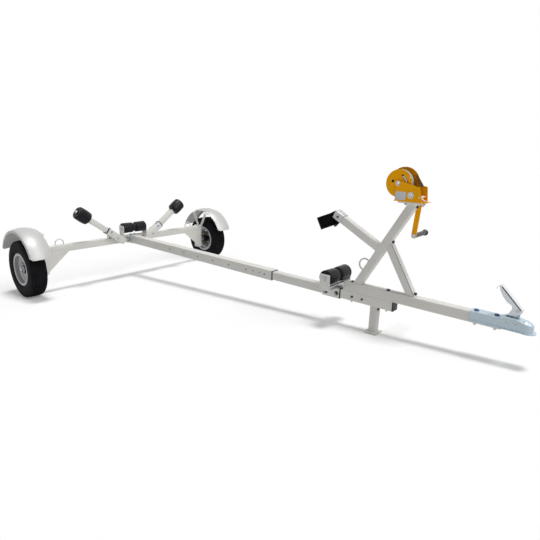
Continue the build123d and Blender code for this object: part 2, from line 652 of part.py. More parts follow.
# ---- Winch post, brace and bow stop
reach = 2 * TONGUE_END
above_tongue = Pos(0, 0, tongue_top) * Box(reach, TRACK, reach, align=standing)
below_winch = Pos(0, 0, POST_TOP_Z) * Box(reach, TRACK, reach, align=hanging)
post_length = (POST_TOP_Z - tongue_top) / cos(radians(POST_LEAN))
along_post = Pos(POST_FOOT_X, 0, tongue_top) * Rot(0, POST_LEAN, 0)
post_rear = along_post * Pos(-half(TUBE), 0, 0)
long_post = along_post * Pos(0, 0, -TUBE) * square_tube(TUBE, TUBE_WALL, post_length + 2 * TUBE)
parts["winch_post"] = long_post & above_tongue & below_winch

brace_run = (BRACE_TOP[1] - tongue_top) / cos(radians(BRACE_LEAN)) + 2 * BRACE_DEPTH
channel = Box(BRACE_DEPTH, BRACE_WIDTH, brace_run, align=hanging)
channel -= Pos(BRACE_WALL, 0, 0) * Box(
    BRACE_DEPTH, BRACE_WIDTH - 2 * BRACE_WALL, brace_run, align=hanging)
channel = Pos(BRACE_TOP[0], 0, BRACE_TOP[1]) * Rot(0, -BRACE_LEAN, 0) * Pos(0, 0, BRACE_DEPTH) * channel
ahead_of_post = along_post * Pos(half(TUBE), 0, 0) * Box(reach, TRACK, reach, align=from_start)
parts["post_brace"] = channel & ahead_of_post & above_tongue

on_bow_arm = Pos(BOW_ARM_FOOT[0], 0, BOW_ARM_FOOT[1]) * Rot(0, -(90 - BOW_ARM_RISE), 0)
bow_arm = on_bow_arm * Pos(0, 0, -TUBE) * square_tube(ARM_TUBE, TUBE_WALL, BOW_ARM_LENGTH + TUBE)
parts["bow_stop_arm"] = bow_arm - post_rear * Box(reach, TRACK, reach, align=from_start)

bracket_width = ARM_TUBE + 2 * PLATE
bow_bracket = Pos(half(PLATE), 0, 0) * Box(
    ARM_TUBE + PLATE, bracket_width, BOW_BRACKET_LENGTH, align=standing)
bow_bracket = fillet(bow_bracket.edges().filter_by(Axis.Z).group_by(Axis.X)[-1], BOW_BRACKET_BEND)
bow_bracket -= Box(ARM_TUBE, ARM_TUBE, BOW_BRACKET_LENGTH, align=standing)
parts["bow_stop_bracket"] = on_bow_arm * Pos(0, 0, BOW_BRACKET_START) * bow_bracket

wing_sin = sin(radians(BOW_PAD_HALF_ANGLE))
wing_cos = cos(radians(BOW_PAD_HALF_ANGLE))
inner_ridge = -BOW_PAD_THICKNESS / wing_sin
wing_tip = (-BOW_PAD_WING * wing_cos, BOW_PAD_WING * wing_sin)
wing_inner_tip = (wing_tip[0] - BOW_PAD_THICKNESS * wing_sin, wing_tip[1] - BOW_PAD_THICKNESS * wing_cos)
wing_outline = ((0, 0), wing_tip, wing_inner_tip, (inner_ridge, 0))
hollow_outline = ((inner_ridge, 0), (wing_inner_tip[0], wing_tip[1] + inner_ridge), (wing_inner_tip[0], 0))
pad = None
hollow = None
for side_name, side in sides:
    wing = make_face(Polyline(*((x, side * y) for x, y in wing_outline), close=True))
    wing = extrude(wing, side * half(BOW_PAD_HEIGHT), both=True)
    void = make_face(Polyline(*((x, side * y) for x, y in hollow_outline), close=True))
    void = extrude(void, side * BOW_PAD_HEIGHT, both=True)
    pad = wing if pad is None else pad + wing
    hollow = void if hollow is None else hollow + void
on_pad = Pos(BOW_PAD_RIDGE[0], 0, BOW_PAD_RIDGE[1]) * Rot(0, -BOW_PAD_LEAN, 0)
lug_start = BOW_ARM_LENGTH + SEAT_GAP
lug = on_bow_arm * Pos(0, 0, lug_start) * Box(ARM_TUBE, ARM_TUBE, BOW_PAD_WING, align=standing)
lug = lug & on_pad * Box(BOW_PAD_WING, BOW_PAD_WING, BOW_PAD_HEIGHT)
parts["bow_stop_pad"] = on_pad * pad + (lug - on_pad * hollow)

# ---- Tie-down loops of bent rod
bend_half = LOOP_RADIUS
loop_path = Polyline((-bend_half, 0), (-bend_half, LOOP_STEM)) + ThreePointArc(
    (-bend_half, LOOP_STEM), (0, LOOP_STEM + bend_half), (bend_half, LOOP_STEM)) + Polyline(
    (bend_half, LOOP_STEM), (bend_half, 0))
loop_profile = Plane((-bend_half, 0, 0), z_dir=(0, 0, 1)) * Circle(LOOP_ROD_RADIUS)
loop_lines = Plane.XZ * loop_path
tie_loop = sweep(loop_profile, path=loop_lines)
axle_loop_y = wheel_y - AXLE_LOOP_INSET
axle_loops = []
for side_name, side in sides:
    axle_loops.append(Pos(0, side * axle_loop_y, axle_top) * Rot(0, 0, 90) * tie_loop)
post_loop = post_rear * Pos(0, 0, POST_LOOP_UP) * Rot(0, -90, 0) * tie_loop
parts["axle_tie_loops"] = Compound(axle_loops)
parts["post_tie_loop"] = post_loop

# ---- Winch: bent frame, drum with its gear, pinion on the crank shaft, crank and grip
winch_base_z = POST_TOP_Z + WINCH_MOUNT
frame_inside = WINCH_HALF_WIDTH - WINCH_SHEET
frame_width = 2 * WINCH_HALF_WIDTH
mount_plate = Box(WINCH_MOUNT_LENGTH, frame_width - 2 * PLATE, WINCH_MOUNT, align=standing)
parts["winch_mount_plate"] = Pos(WINCH_MOUNT_X + half(WINCH_MOUNT_LENGTH), 0, POST_TOP_Z) * mount_plate

centre_distance = half(GEAR_MODULE * (GEAR_TEETH + PINION_TEETH))
crank_x = DRUM_X + centre_distance * cos(radians(CRANK_DIRECTION))
crank_z = DRUM_Z + centre_distance * sin(radians(CRANK_DIRECTION))


def frame_plate(table, radius):
    """Side plate of the winch: a polygon given from the base's rear end, and a round ear at the drum."""
    outline = Polyline(*((WINCH_BASE_X + x, winch_base_z + z) for x, z in table), close=True)
    return make_face(outline) + Pos(DRUM_X, DRUM_Z) * Circle(radius)


base_mid_x = WINCH_BASE_X + half(WINCH_BASE_LENGTH)
winch_frame = Pos(base_mid_x, 0, winch_base_z) * Box(
    WINCH_BASE_LENGTH, frame_width, WINCH_SHEET, align=standing)
winch_frame += outline_plate(
    frame_plate(RIGHT_PLATE_OUTLINE, SHAFT_EAR_RADIUS), WINCH_SHEET, -WINCH_HALF_WIDTH)
winch_frame += outline_plate(frame_plate(LEFT_PLATE_OUTLINE, GUARD_RADIUS), WINCH_SHEET, frame_inside)
shaft_holes = (
    (DRUM_SHAFT_RADIUS, DRUM_X, DRUM_Z), (CRANK_SHAFT_RADIUS, crank_x, crank_z),
    (PAWL_PIN_RADIUS, *PAWL_PIN))
for radius, x, z in shaft_holes:
    winch_frame -= cross_pin(radius + RUNNING_GAP, 2 * frame_width, x, z)
parts["winch_frame"] = winch_frame


def toothed_wheel(teeth, tooth_angle, centre_x, centre_z):
    """Spur gear with straight-sided teeth, one of them at the given angle above +X."""
    pitch_radius = half(GEAR_MODULE * teeth)
    root_radius = pitch_radius - 1.25 * GEAR_MODULE
    tip_radius = pitch_radius + GEAR_MODULE
    flank_slope = tan(radians(PRESSURE_ANGLE))
    tooth_half = half(TOOTH_SHARE * pi * GEAR_MODULE)
    outline = []
    for k in range(teeth):
        middle = tooth_angle + k * 360 / teeth
        for radius, turn in ((root_radius, -1), (tip_radius, -1), (tip_radius, 1), (root_radius, 1)):
            flank = tooth_half + (pitch_radius - radius) * flank_slope
            angle = radians(middle) + turn * flank / radius
            outline.append((centre_x + radius * cos(angle), centre_z + radius * sin(angle)))
    return make_face(Polyline(*outline, close=True))


shaft_reach = WINCH_HALF_WIDTH + SHAFT_OVERHANG
gear_start = GEAR_Y - half(GEAR_WIDTH)
flange_start = -frame_inside + SIDE_GAP
drum_width = gear_start - flange_start
drum = cross_pin(DRUM_RADIUS, drum_width, DRUM_X, DRUM_Z, flange_start + half(drum_width))
drum += cross_pin(
    DRUM_FLANGE_RADIUS, DRUM_FLANGE_THICKNESS, DRUM_X, DRUM_Z, flange_start + half(DRUM_FLANGE_THICKNESS))
drum += cross_pin(DRUM_SHAFT_RADIUS, 2 * shaft_reach, DRUM_X, DRUM_Z)
parts["winch_drum"] = drum
gear = toothed_wheel(GEAR_TEETH, CRANK_DIRECTION, DRUM_X, DRUM_Z)
gear -= Pos(DRUM_X, DRUM_Z) * Circle(DRUM_SHAFT_RADIUS)
parts["drum_gear"] = outline_plate(gear, GEAR_WIDTH, gear_start)

pinion_gap_angle = CRANK_DIRECTION + 180 + half(360 / PINION_TEETH)
shaft_length = CRANK_ARM_Y + shaft_reach
crank_shaft = cross_pin(
    CRANK_SHAFT_RADIUS, shaft_length, crank_x, crank_z, half(shaft_length) - shaft_reach)
pinion = toothed_wheel(PINION_TEETH, pinion_gap_angle, crank_x, crank_z)
crank_shaft += outline_plate(pinion, GEAR_WIDTH, gear_start)
ratchet_points = []
for k in range(RATCHET_TEETH):
    tooth_angle = 2 * pi * k / RATCHET_TEETH
    for radius in (RATCHET_ROOT_RADIUS, RATCHET_RADIUS):
        ratchet_points.append((crank_x + radius * cos(tooth_angle), crank_z + radius * sin(tooth_angle)))
ratchet = make_face(Polyline(*ratchet_points, close=True))
crank_shaft += outline_plate(ratchet, RATCHET_WIDTH, RATCHET_Y - half(RATCHET_WIDTH))
parts["crank_shaft"] = crank_shaft

pawl_x, pawl_z = PAWL_PIN
pawl_strip = trace(ThreePointArc(PAWL_TIP, PAWL_BEND, PAWL_END), PAWL_SHEET)
pawl_outline = pawl_strip + Pos(pawl_x, pawl_z) * Circle(PAWL_HUB_RADIUS)
pawl = outline_plate(pawl_outline, PAWL_WIDTH, PAWL_Y - half(PAWL_WIDTH))
pawl += cross_pin(PAWL_PIN_RADIUS, frame_width + PAWL_SHEET, pawl_x, pawl_z)
parts["ratchet_pawl"] = pawl

arm_plate = SlotOverall(CRANK_ARM_LENGTH + CRANK_ARM_WIDTH, CRANK_ARM_WIDTH, rotation=90)
arm_plate = outline_plate(Pos(0, -half(CRANK_ARM_LENGTH)) * arm_plate, CRANK_ARM_THICKNESS, CRANK_ARM_Y)
grip_x = crank_x - CRANK_ARM_LENGTH * sin(radians(CRANK_HANG))
grip_z = crank_z - CRANK_ARM_LENGTH * cos(radians(CRANK_HANG))
arm_out_y = CRANK_ARM_Y + CRANK_ARM_THICKNESS
grip_start = arm_out_y + GRIP_GAP
grip_pin_end = grip_start + GRIP_LENGTH + GRIP_PIN_RADIUS
grip_pin_mid_y = half(grip_pin_end + arm_out_y)
grip_pin = cross_pin(GRIP_PIN_RADIUS, grip_pin_end - arm_out_y, grip_x, grip_z, grip_pin_mid_y)
parts["crank_arm"] = Pos(crank_x, 0, crank_z) * Rot(0, CRANK_HANG, 0) * arm_plate + grip_pin
grip_bore = GRIP_PIN_RADIUS + RUNNING_GAP
grip_outside = [(GRIP_RADIUS + wave, share * GRIP_LENGTH) for share, wave in GRIP_WAVES]
grip = revolved(((grip_bore, 0), *grip_outside, (grip_bore, GRIP_LENGTH)))
parts["crank_grip"] = Pos(grip_x, grip_start, grip_z) * outward(1, grip)

# ---- Coupler: folded steel channel ending in a ball dome, with a latch lever
tunnel_half = half(TUBE) + SEAT_GAP
tunnel_top = tongue_top + SEAT_GAP
channel_half = tunnel_half + COUPLER_SHEET
coupler_top = tunnel_top + COUPLER_SHEET
hump_top = coupler_top + COUPLER_RISE
nose_x = BALL_X + NOSE_RADIUS
side_outline = make_face(Polyline(
    (COUPLER_REAR_X, SKIRT_Z), (COUPLER_REAR_X, coupler_top), (COUPLER_RISE_START, coupler_top),
    (COUPLER_RISE_END, hump_top), (NOSE_SLOPE_START, hump_top), (nose_x, NOSE_Z), (nose_x, SKIRT_Z),
    close=True))
folded = extrude(Plane.XZ * side_outline, NOSE_RADIUS, both=True)
top_outline = Pos(COUPLER_REAR_X, 0) * Rectangle(
    BALL_X - COUPLER_REAR_X, 2 * channel_half, align=(Align.MIN, Align.CENTER))
top_outline += Pos(BALL_X, 0) * Circle(NOSE_RADIUS)
coupler = folded & Pos(0, 0, SKIRT_Z) * extrude(top_outline, hump_top)
coupler += Pos(BALL_X, 0, BALL_Z) * Sphere(BALL_RADIUS + BALL_CLEARANCE + DOME_SHEET)
lip_outline = Pos(COUPLER_REAR_X, 0) * Rectangle(
    BALL_X - COUPLER_REAR_X, 2 * (channel_half + SIDE_SKIRT_WIDTH), align=(Align.MIN, Align.CENTER))
lip_outline += Pos(BALL_X + SKIRT_WIDTH - SIDE_SKIRT_WIDTH, 0) * Circle(NOSE_RADIUS + SIDE_SKIRT_WIDTH)
coupler += Pos(0, 0, SKIRT_Z) * extrude(lip_outline, COUPLER_SHEET)
tunnel = Box(TUNNEL_END - COUPLER_REAR_X + 1, 2 * tunnel_half, TUBE + COUPLER_SHEET,
             align=(Align.MIN, Align.CENTER, Align.MAX))
coupler -= Pos(COUPLER_REAR_X - 1, 0, tunnel_top) * tunnel
ball_room = BALL_RADIUS + BALL_CLEARANCE
coupler -= Pos(BALL_X, 0, BALL_Z) * Sphere(ball_room)
coupler -= Pos(BALL_X, 0, BALL_Z) * Cylinder(ball_room, 2 * BALL_RADIUS, align=hanging)
slot_start, slot_end = LATCH_SLOT
slot_length = slot_end - slot_start
slot_height = 2 * (hump_top - tunnel_top)
slot = Box(slot_length, LATCH_CHEEK_WIDTH + 2 * SIDE_GAP, slot_height, align=standing)
coupler -= Pos(half(slot_start + slot_end), 0, tunnel_top) * slot
latch_x, latch_z = LATCH_PIVOT
lug_rise = latch_z - tunnel_top
latch_lug = Box(2 * LATCH_LUG_RADIUS, LATCH_LUG_WIDTH, lug_rise, align=hanging)
coupler += Pos(latch_x, 0, latch_z) * latch_lug
coupler += cross_pin(LATCH_LUG_RADIUS, LATCH_LUG_WIDTH, latch_x, latch_z)
coupler += cross_pin(LATCH_PIN_RADIUS, LATCH_WIDTH, latch_x, latch_z)
parts["coupler_body"] = coupler

cheek_outline = Plane.XZ * make_face(Polyline(*LATCH_CHEEK, close=True))
latch = extrude(cheek_outline, half(LATCH_CHEEK_WIDTH), both=True)
latch -= extrude(cheek_outline, half(LATCH_CHEEK_WIDTH) - LATCH_SHEET, both=True)
latch += extrude(Plane.XZ * trace(Polyline(*LATCH_STRIP), LATCH_SHEET), half(LATCH_WIDTH), both=True)
latch -= cross_pin(LATCH_PIN_RADIUS + RUNNING_GAP, 2 * LATCH_WIDTH, 0, 0)
parts["coupler_latch"] = Pos(latch_x, 0, latch_z) * latch

# ---- Set down: nose low, on both tyres and the front edge of the foot plate
foot_edge_x = LEG_X + half(FOOT_SIZE)
foot_reach = sqrt(foot_edge_x ** 2 + LEG_FOOT_Z ** 2)
foot_angle = degrees(atan2(-LEG_FOOT_Z, foot_edge_x))
nose_down = degrees(asin(TYRE_RADIUS / foot_reach)) - foot_angle
tilt = Rot(0, nose_down, 0)
tilted = {name: tilt * shape for name, shape in parts.items()}
boxes = [shape.bounding_box() for shape in tilted.values()]
rear_x = min(box.min.X for box in boxes)
front_x = max(box.max.X for box in boxes)
set_down = Pos(-half(rear_x + front_x), 0, TYRE_RADIUS) * tilt


def parked(x, y, z):
    """A point of the level trailer, where it is once the trailer is parked."""
    spot = (set_down * Pos(x, y, z)).position
    return (spot.X, spot.Y, spot.Z)


os.makedirs("parts", exist_ok=True)
for name, shape in parts.items():
    export_step(set_down * shape, "parts/" + name + ".step")
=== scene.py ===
import bmesh
import bpy
import math
from mathutils import Matrix, Vector


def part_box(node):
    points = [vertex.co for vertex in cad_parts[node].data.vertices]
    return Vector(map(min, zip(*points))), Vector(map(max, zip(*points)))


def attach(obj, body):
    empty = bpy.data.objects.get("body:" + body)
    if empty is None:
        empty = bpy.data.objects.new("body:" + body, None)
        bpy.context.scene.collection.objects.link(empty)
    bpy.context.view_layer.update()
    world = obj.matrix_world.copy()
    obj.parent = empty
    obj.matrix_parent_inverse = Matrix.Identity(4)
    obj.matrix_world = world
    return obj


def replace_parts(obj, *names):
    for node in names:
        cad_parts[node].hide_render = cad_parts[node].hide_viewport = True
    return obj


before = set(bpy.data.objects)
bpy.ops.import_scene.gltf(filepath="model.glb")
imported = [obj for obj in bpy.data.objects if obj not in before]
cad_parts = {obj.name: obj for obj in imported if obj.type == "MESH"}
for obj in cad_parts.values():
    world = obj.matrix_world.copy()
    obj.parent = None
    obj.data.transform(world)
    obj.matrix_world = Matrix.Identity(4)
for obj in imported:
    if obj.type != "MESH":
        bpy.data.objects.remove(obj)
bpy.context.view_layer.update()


# ---- Axle and hub carriers
# The axle is a 50 mm square steel tube. A folded box is welded to each end of it, with a gusset
# on its front face. All of it is powder-coated a warm pale grey over the weld beads.
NOSE_DOWN = math.radians(3.48984)
MM = 0.001
PAINT = (0.735, 0.725, 0.685)
ORANGE_PEEL = 700.0
TUBE_CORNER = 2.2
AXLE_Z = 110
TUBE_HALF = 25
CARRIER_FACE_Y = 708
GUSSET_WELD_Y = 562
GUSSET_WELD_LOW_Z = -42
WELD_BEAD = 2.6
WELD_RIPPLE = 2.4
WELD_SQUASH = 0.8
SIDES = (("left", 1), ("right", -1))

tyre_low, tyre_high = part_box("tyre_left")
axle_x = (tyre_low[0] + tyre_high[0]) / 2
axle_height = (tyre_low[2] + tyre_high[2]) / 2
parked = Matrix.Translation((axle_x, 0, axle_height)) @ Matrix.Rotation(NOSE_DOWN, 4, "Y")
level = parked @ Matrix.Scale(MM, 4)


def grain(tree, place, scale, detail=3.0):
    """Noise at so many cycles a metre."""
    noise = tree.nodes.new("ShaderNodeTexNoise")
    noise.inputs["Scale"].default_value = scale
    noise.inputs["Detail"].default_value = detail
    noise.inputs["Roughness"].default_value = 0.55
    tree.links.new(place, noise.inputs["Vector"])
    return noise.outputs["Fac"]


def shade(colour, factor):
    """A colour made darker or lighter."""
    return tuple(min(1.0, part * factor) for part in colour)


def coated(name, colour, tones, cloud, sheen, patches, texture, depth):
    """A new finish and its shader: clouds of tone, patches of sheen and a relief of a depth in
    metres. A cloud or a texture is its cycles a metre and its detail."""
    material = bpy.data.materials.new(name)
    material.use_nodes = True
    tree = material.node_tree
    shader = tree.nodes["Principled BSDF"]
    place = tree.nodes.new("ShaderNodeTexCoord").outputs["Object"]
    ramp = tree.nodes.new("ShaderNodeValToRGB")
    for element, position, factor in zip(ramp.color_ramp.elements, (0.3, 0.7), tones):
        element.position = position
        element.color = (*shade(colour, factor), 1)
    tree.links.new(grain(tree, place, *cloud), ramp.inputs["Fac"])
    tree.links.new(ramp.outputs["Color"], shader.inputs["Base Color"])
    gloss = tree.nodes.new("ShaderNodeMapRange")
    for input_name, value in zip(("From Min", "From Max", "To Min", "To Max"), (0.3, 0.7, *sheen)):
        gloss.inputs[input_name].default_value = value
    tree.links.new(grain(tree, place, patches), gloss.inputs["Value"])
    tree.links.new(gloss.outputs["Result"], shader.inputs["Roughness"])
    bump = tree.nodes.new("ShaderNodeBump")
    bump.inputs["Distance"].default_value = depth
    tree.links.new(grain(tree, place, *texture), bump.inputs["Height"])
    tree.links.new(bump.outputs["Normal"], shader.inputs["Normal"])
    return material, shader


def powder_coat(name, colour, metal=0.0, coat=0.1):
    """Baked powder paint: a faint orange-peel surface, slightly uneven in tone and sheen."""
    material, shader = coated(
        name, colour, tones=(0.95, 1.03), cloud=(5.0,), sheen=(0.40, 0.52), patches=40.0,
        texture=(ORANGE_PEEL, 1.0), depth=0.00006)
    shader.inputs["Metallic"].default_value = metal
    shader.inputs["Coat Weight"].default_value = coat
    shader.inputs["Coat Roughness"].default_value = 0.3
    return material


def dress(material, *node_names):
    """Give CAD nodes their finish."""
    for node_name in node_names:
        for material_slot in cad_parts[node_name].material_slots:
            material_slot.material = material


def linked(name, data):
    """A new object in the scene from its mesh, lamp or camera."""
    made = bpy.data.objects.new(name, data)
    bpy.context.scene.collection.objects.link(made)
    return made


def shown(name, mesh, body, smooth_to=38):
    """A finished piece of the trailer from its mesh, riding on a body."""
    made = linked(name, mesh)
    mesh.shade_smooth()
    mesh.set_sharp_from_angle(angle=math.radians(smooth_to))
    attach(made, body)
    return made


def plain_mesh(made):
    """The mesh that an object's modifiers make, as a plain mesh."""
    depsgraph = bpy.context.evaluated_depsgraph_get()
    return bpy.data.meshes.new_from_object(made.evaluated_get(depsgraph))


def bent(name, mesh, bend, body, least_angle=40):
    """A sharp-edged mesh as a piece with the bend radius that rolled steel has."""
    sharp = linked(name + "_sharp", mesh)
    bevel = sharp.modifiers.new("bend", "BEVEL")
    bevel.width = bend * MM
    bevel.segments = 3
    bevel.limit_method = "ANGLE"
    bevel.angle_limit = math.radians(least_angle)
    made = shown(name, plain_mesh(sharp), body)
    bpy.data.objects.remove(sharp)
    return made


def softened(material, slot, *node_names, bend, body="root"):
    """Stand a copy of each CAD node in its place, with its bends rounded."""
    for node_name in node_names:
        edit = bmesh.new()
        edit.from_mesh(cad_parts[node_name].data)
        bmesh.ops.remove_doubles(edit, verts=edit.verts, dist=0.00001)
        bmesh.ops.dissolve_limit(
            edit, angle_limit=math.radians(0.5), verts=edit.verts, edges=edit.edges)
        mesh = bpy.data.meshes.new(node_name + "_bent")
        edit.to_mesh(mesh)
        edit.free()
        mesh.materials.clear()
        mesh.materials.append(material)
        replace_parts(bent(node_name + "_bent", mesh, bend, body), node_name)


def new_tree(name, **inputs):
    """A geometry tree with named inputs: the tree, its input node and its output node."""
    tree = bpy.data.node_groups.new(name, "GeometryNodeTree")
    tree.interface.new_socket("Geometry", in_out="INPUT", socket_type="NodeSocketGeometry")
    for input_name, kind in inputs.items():
        tree.interface.new_socket(
            input_name.replace("_", " "), in_out="INPUT", socket_type="NodeSocket" + kind)
    tree.interface.new_socket("Geometry", in_out="OUTPUT", socket_type="NodeSocketGeometry")
    return tree, tree.nodes.new("NodeGroupInput").outputs, tree.nodes.new("NodeGroupOutput")


def add_node(tree, kind, links, **settings):
    """A node of a tree with its settings, and with values or links on its inputs."""
    node = tree.nodes.new(kind)
    for setting, value in settings.items():
        setattr(node, setting, value)
    for socket_name, value in links.items():
        if isinstance(value, bpy.types.NodeSocket):
            tree.links.new(value, node.inputs[socket_name])
        else:
            node.inputs[socket_name].default_value = value
    return node


def end_tree(tree, geometry, finish, tree_end):
    """Close a tree with its instances made real and its finish set."""
    real = add_node(tree, "GeometryNodeRealizeInstances", {"Geometry": geometry})
    painted = add_node(
        tree, "GeometryNodeSetMaterial", {"Geometry": real.outputs["Geometry"], "Material": finish})
    tree.links.new(painted.outputs["Geometry"], tree_end.inputs["Geometry"])


def grown(name, tree, start_mesh, values, body, smooth_to=38):
    """The plain mesh piece that a tree makes from a start mesh, with the tree's inputs set."""
    start = linked(name + "_start", start_mesh)
    modifier = start.modifiers.new("grow", "NODES")
    modifier.node_group = tree
    for socket in tree.interface.items_tree:
        if socket.in_out == "INPUT" and socket.name in values:
            modifier[socket.identifier] = values[socket.name]
    mesh = plain_mesh(start)
    start.modifiers.remove(modifier)
    bpy.data.objects.remove(start)
    return shown(name, mesh, body, smooth_to)


def rectangle(low_across, high_across, low_up, high_up):
    """The corners of a rectangle, in turn."""
    return [(low_across, low_up), (high_across, low_up), (high_across, high_up), (low_across, high_up)]


def line_mesh(runs, closed=False):
    """Edges through runs of points given on the level trailer, in millimetres."""
    corners = []
    edges = []
    for run in runs:
        first = len(corners)
        corners.extend(level @ Vector(point) for point in run)
        edges.extend((k, k + 1) for k in range(first, len(corners) - 1))
        if closed:
            edges.append((len(corners) - 1, first))
    mesh = bpy.data.meshes.new("runs")
    mesh.from_pydata(corners, edges, [])
    return mesh


weld_tree, given, weld_end = new_tree(
    "weld_bead", Bead="Float", Ripple="Float", Finish="Material")
seam = add_node(weld_tree, "GeometryNodeMeshToCurve", {"Mesh": given["Geometry"]})
drops = add_node(
    weld_tree, "GeometryNodeCurveToPoints", {"Curve": seam.outputs["Curve"], "Length": given["Ripple"]},
    mode="LENGTH")
drop = add_node(
    weld_tree, "GeometryNodeMeshUVSphere", {"Segments": 8, "Rings": 5, "Radius": given["Bead"]})
row = add_node(weld_tree, "GeometryNodeInstanceOnPoints", {
    "Points": drops.outputs["Points"], "Instance": drop.outputs["Mesh"],
    "Rotation": drops.outputs["Rotation"], "Scale": (1, 1, WELD_SQUASH)})
end_tree(weld_tree, row.outputs["Instances"], given["Finish"], weld_end)


def welded(name, *runs, closed=False):
    """A painted-over weld bead along each run."""
    values = {"Bead": WELD_BEAD * MM, "Ripple": WELD_RIPPLE * MM, "Finish": paint}
    grown(name, weld_tree, line_mesh(runs, closed), values, "root", smooth_to=80)


paint = powder_coat("frame_powder_coat", PAINT)
softened(paint, "frame_paint", "axle_tube", bend=TUBE_CORNER)
dress(paint, "hub_carrier_left", "hub_carrier_right")
under_axle = AXLE_Z - TUBE_HALF
for side_name, side in SIDES:
    face_y = side * (CARRIER_FACE_Y - 1)
    tube_corners = rectangle(-TUBE_HALF, TUBE_HALF, under_axle, AXLE_Z + TUBE_HALF)
    welded("axle_end_weld_" + side_name, [(x, face_y, z) for x, z in tube_corners], closed=True)
    welded(
        "gusset_weld_" + side_name,
        [(TUBE_HALF, side * y, under_axle - 1) for y in (GUSSET_WELD_Y, CARRIER_FACE_Y)],
        [(TUBE_HALF - 5, face_y, z) for z in (under_axle - 20, GUSSET_WELD_LOW_Z)])


# ---- Stub axles and plated fasteners
# Turned stub axles, bolts, nuts and washers are zinc plated, which leaves a slightly blue, cloudy
# metal, or blackened. A hexagon's corners are chamfered, and a washer lies under it.
ZINC = (0.50, 0.54, 0.58)
BLUE_ZINC = (0.20, 0.33, 0.48)
BLACK_OXIDE = (0.06, 0.062, 0.066)
HEX_SIDES = 6
CHAMFER = 0.86
CROWN_SHARE = 0.4
WASHER_SHEET = 1.6
WASHER_SHARE = 0.72
SHANK_SHARE = 0.30
UP, DOWN = (0, 0, 1), (0, 0, -1)
LEFT, RIGHT = (0, 1, 0), (0, -1, 0)
AHEAD = (1, 0, 0)


def zinc_plate(name, colour, sheen=(0.28, 0.45), cloud_scale=160.0, metal=0.55):
    """Passivated zinc: a cloudy metal with fine streaks."""
    material, shader = coated(
        name, colour, tones=(0.88, 1.08), cloud=(cloud_scale, 4.0), sheen=sheen, patches=250.0,
        texture=(900.0, 2.0), depth=0.00003)
    shader.inputs["Metallic"].default_value = metal
    return material


def reckoned(tree, operation, *values, kind="ShaderNodeMath"):
    """What a tree works out from its sizes."""
    return add_node(tree, kind, dict(enumerate(values)), operation=operation).outputs[0]


def raised(tree, geometry, height):
    """A part of a fastener, raised to a height."""
    lift = add_node(tree, "ShaderNodeCombineXYZ", {"Z": height})
    return add_node(tree, "GeometryNodeTransform", {
        "Geometry": geometry, "Translation": lift.outputs[0]}).outputs["Geometry"]


def aim_of(tree, aim_name):
    """A direction that a tree's points carry."""
    return add_node(
        tree, "GeometryNodeInputNamedAttribute", {"Name": aim_name},
        data_type="FLOAT_VECTOR").outputs["Attribute"]


def set_on_points(tree, piece, turned, given, tree_end):
    """Close a tree with a piece on each of its points, turned as the points say."""
    row = add_node(tree, "GeometryNodeInstanceOnPoints", {
        "Points": given["Geometry"], "Instance": piece, "Rotation": turned.outputs["Rotation"]})
    end_tree(tree, row.outputs["Instances"], given["Finish"], tree_end)


def set_on_aims(tree, fastener, given, tree_end):
    """Close a tree with a fastener on each point, facing the way that the point aims."""
    turned = add_node(
        tree, "FunctionNodeAlignRotationToVector", {"Vector": aim_of(tree, "aim")}, axis="Z")
    set_on_points(tree, fastener, turned, given, tree_end)


bolt_tree, given, bolt_end = new_tree(
    "plated_bolts", Across_Flats="Float", Height="Float", Washer="Float", Thread="Float",
    Finish="Material")
hexagon = add_node(bolt_tree, "GeometryNodeMeshCylinder", {
    "Vertices": HEX_SIDES, "Side Segments": 4, "Depth": given["Height"],
    "Radius": reckoned(bolt_tree, "DIVIDE", given["Across Flats"], math.sqrt(3))})
spot = add_node(bolt_tree, "GeometryNodeInputPosition", {}).outputs["Position"]
spot_height = add_node(bolt_tree, "ShaderNodeSeparateXYZ", {0: spot}).outputs["Z"]
crown_height = reckoned(bolt_tree, "MULTIPLY", given["Height"], CROWN_SHARE)
head = add_node(bolt_tree, "GeometryNodeSetPosition", {
    "Geometry": hexagon.outputs["Mesh"],
    "Selection": reckoned(bolt_tree, "GREATER_THAN", spot_height, crown_height),
    "Position": reckoned(
        bolt_tree, "MULTIPLY", spot, (CHAMFER, CHAMFER, 1), kind="ShaderNodeVectorMath")})
washer = add_node(bolt_tree, "GeometryNodeMeshCylinder", {
    "Vertices": 18, "Radius": given["Washer"], "Depth": WASHER_SHEET * MM})
shank = add_node(bolt_tree, "GeometryNodeMeshCylinder", {
    "Vertices": 12, "Radius": reckoned(bolt_tree, "MULTIPLY", given["Across Flats"], SHANK_SHARE),
    "Depth": given["Thread"]})
shank_height = reckoned(bolt_tree, "MULTIPLY_ADD", given["Thread"], 0.5, given["Height"])
thread_or_none = add_node(bolt_tree, "GeometryNodeSwitch", {
    "Switch": reckoned(bolt_tree, "GREATER_THAN", given["Thread"], 0.0001),
    "True": raised(bolt_tree, shank.outputs["Mesh"], shank_height)}, input_type="GEOMETRY")
head_height = reckoned(bolt_tree, "MULTIPLY_ADD", given["Height"], 0.5, WASHER_SHEET * MM)
one_bolt = add_node(bolt_tree, "GeometryNodeJoinGeometry", {})
for part_of_bolt in (
        thread_or_none.outputs["Output"],
        raised(bolt_tree, washer.outputs["Mesh"], WASHER_SHEET * MM / 2),
        raised(bolt_tree, head.outputs["Geometry"], head_height)):
    bolt_tree.links.new(part_of_bolt, one_bolt.inputs["Geometry"])
set_on_aims(bolt_tree, one_bolt.outputs["Geometry"], given, bolt_end)

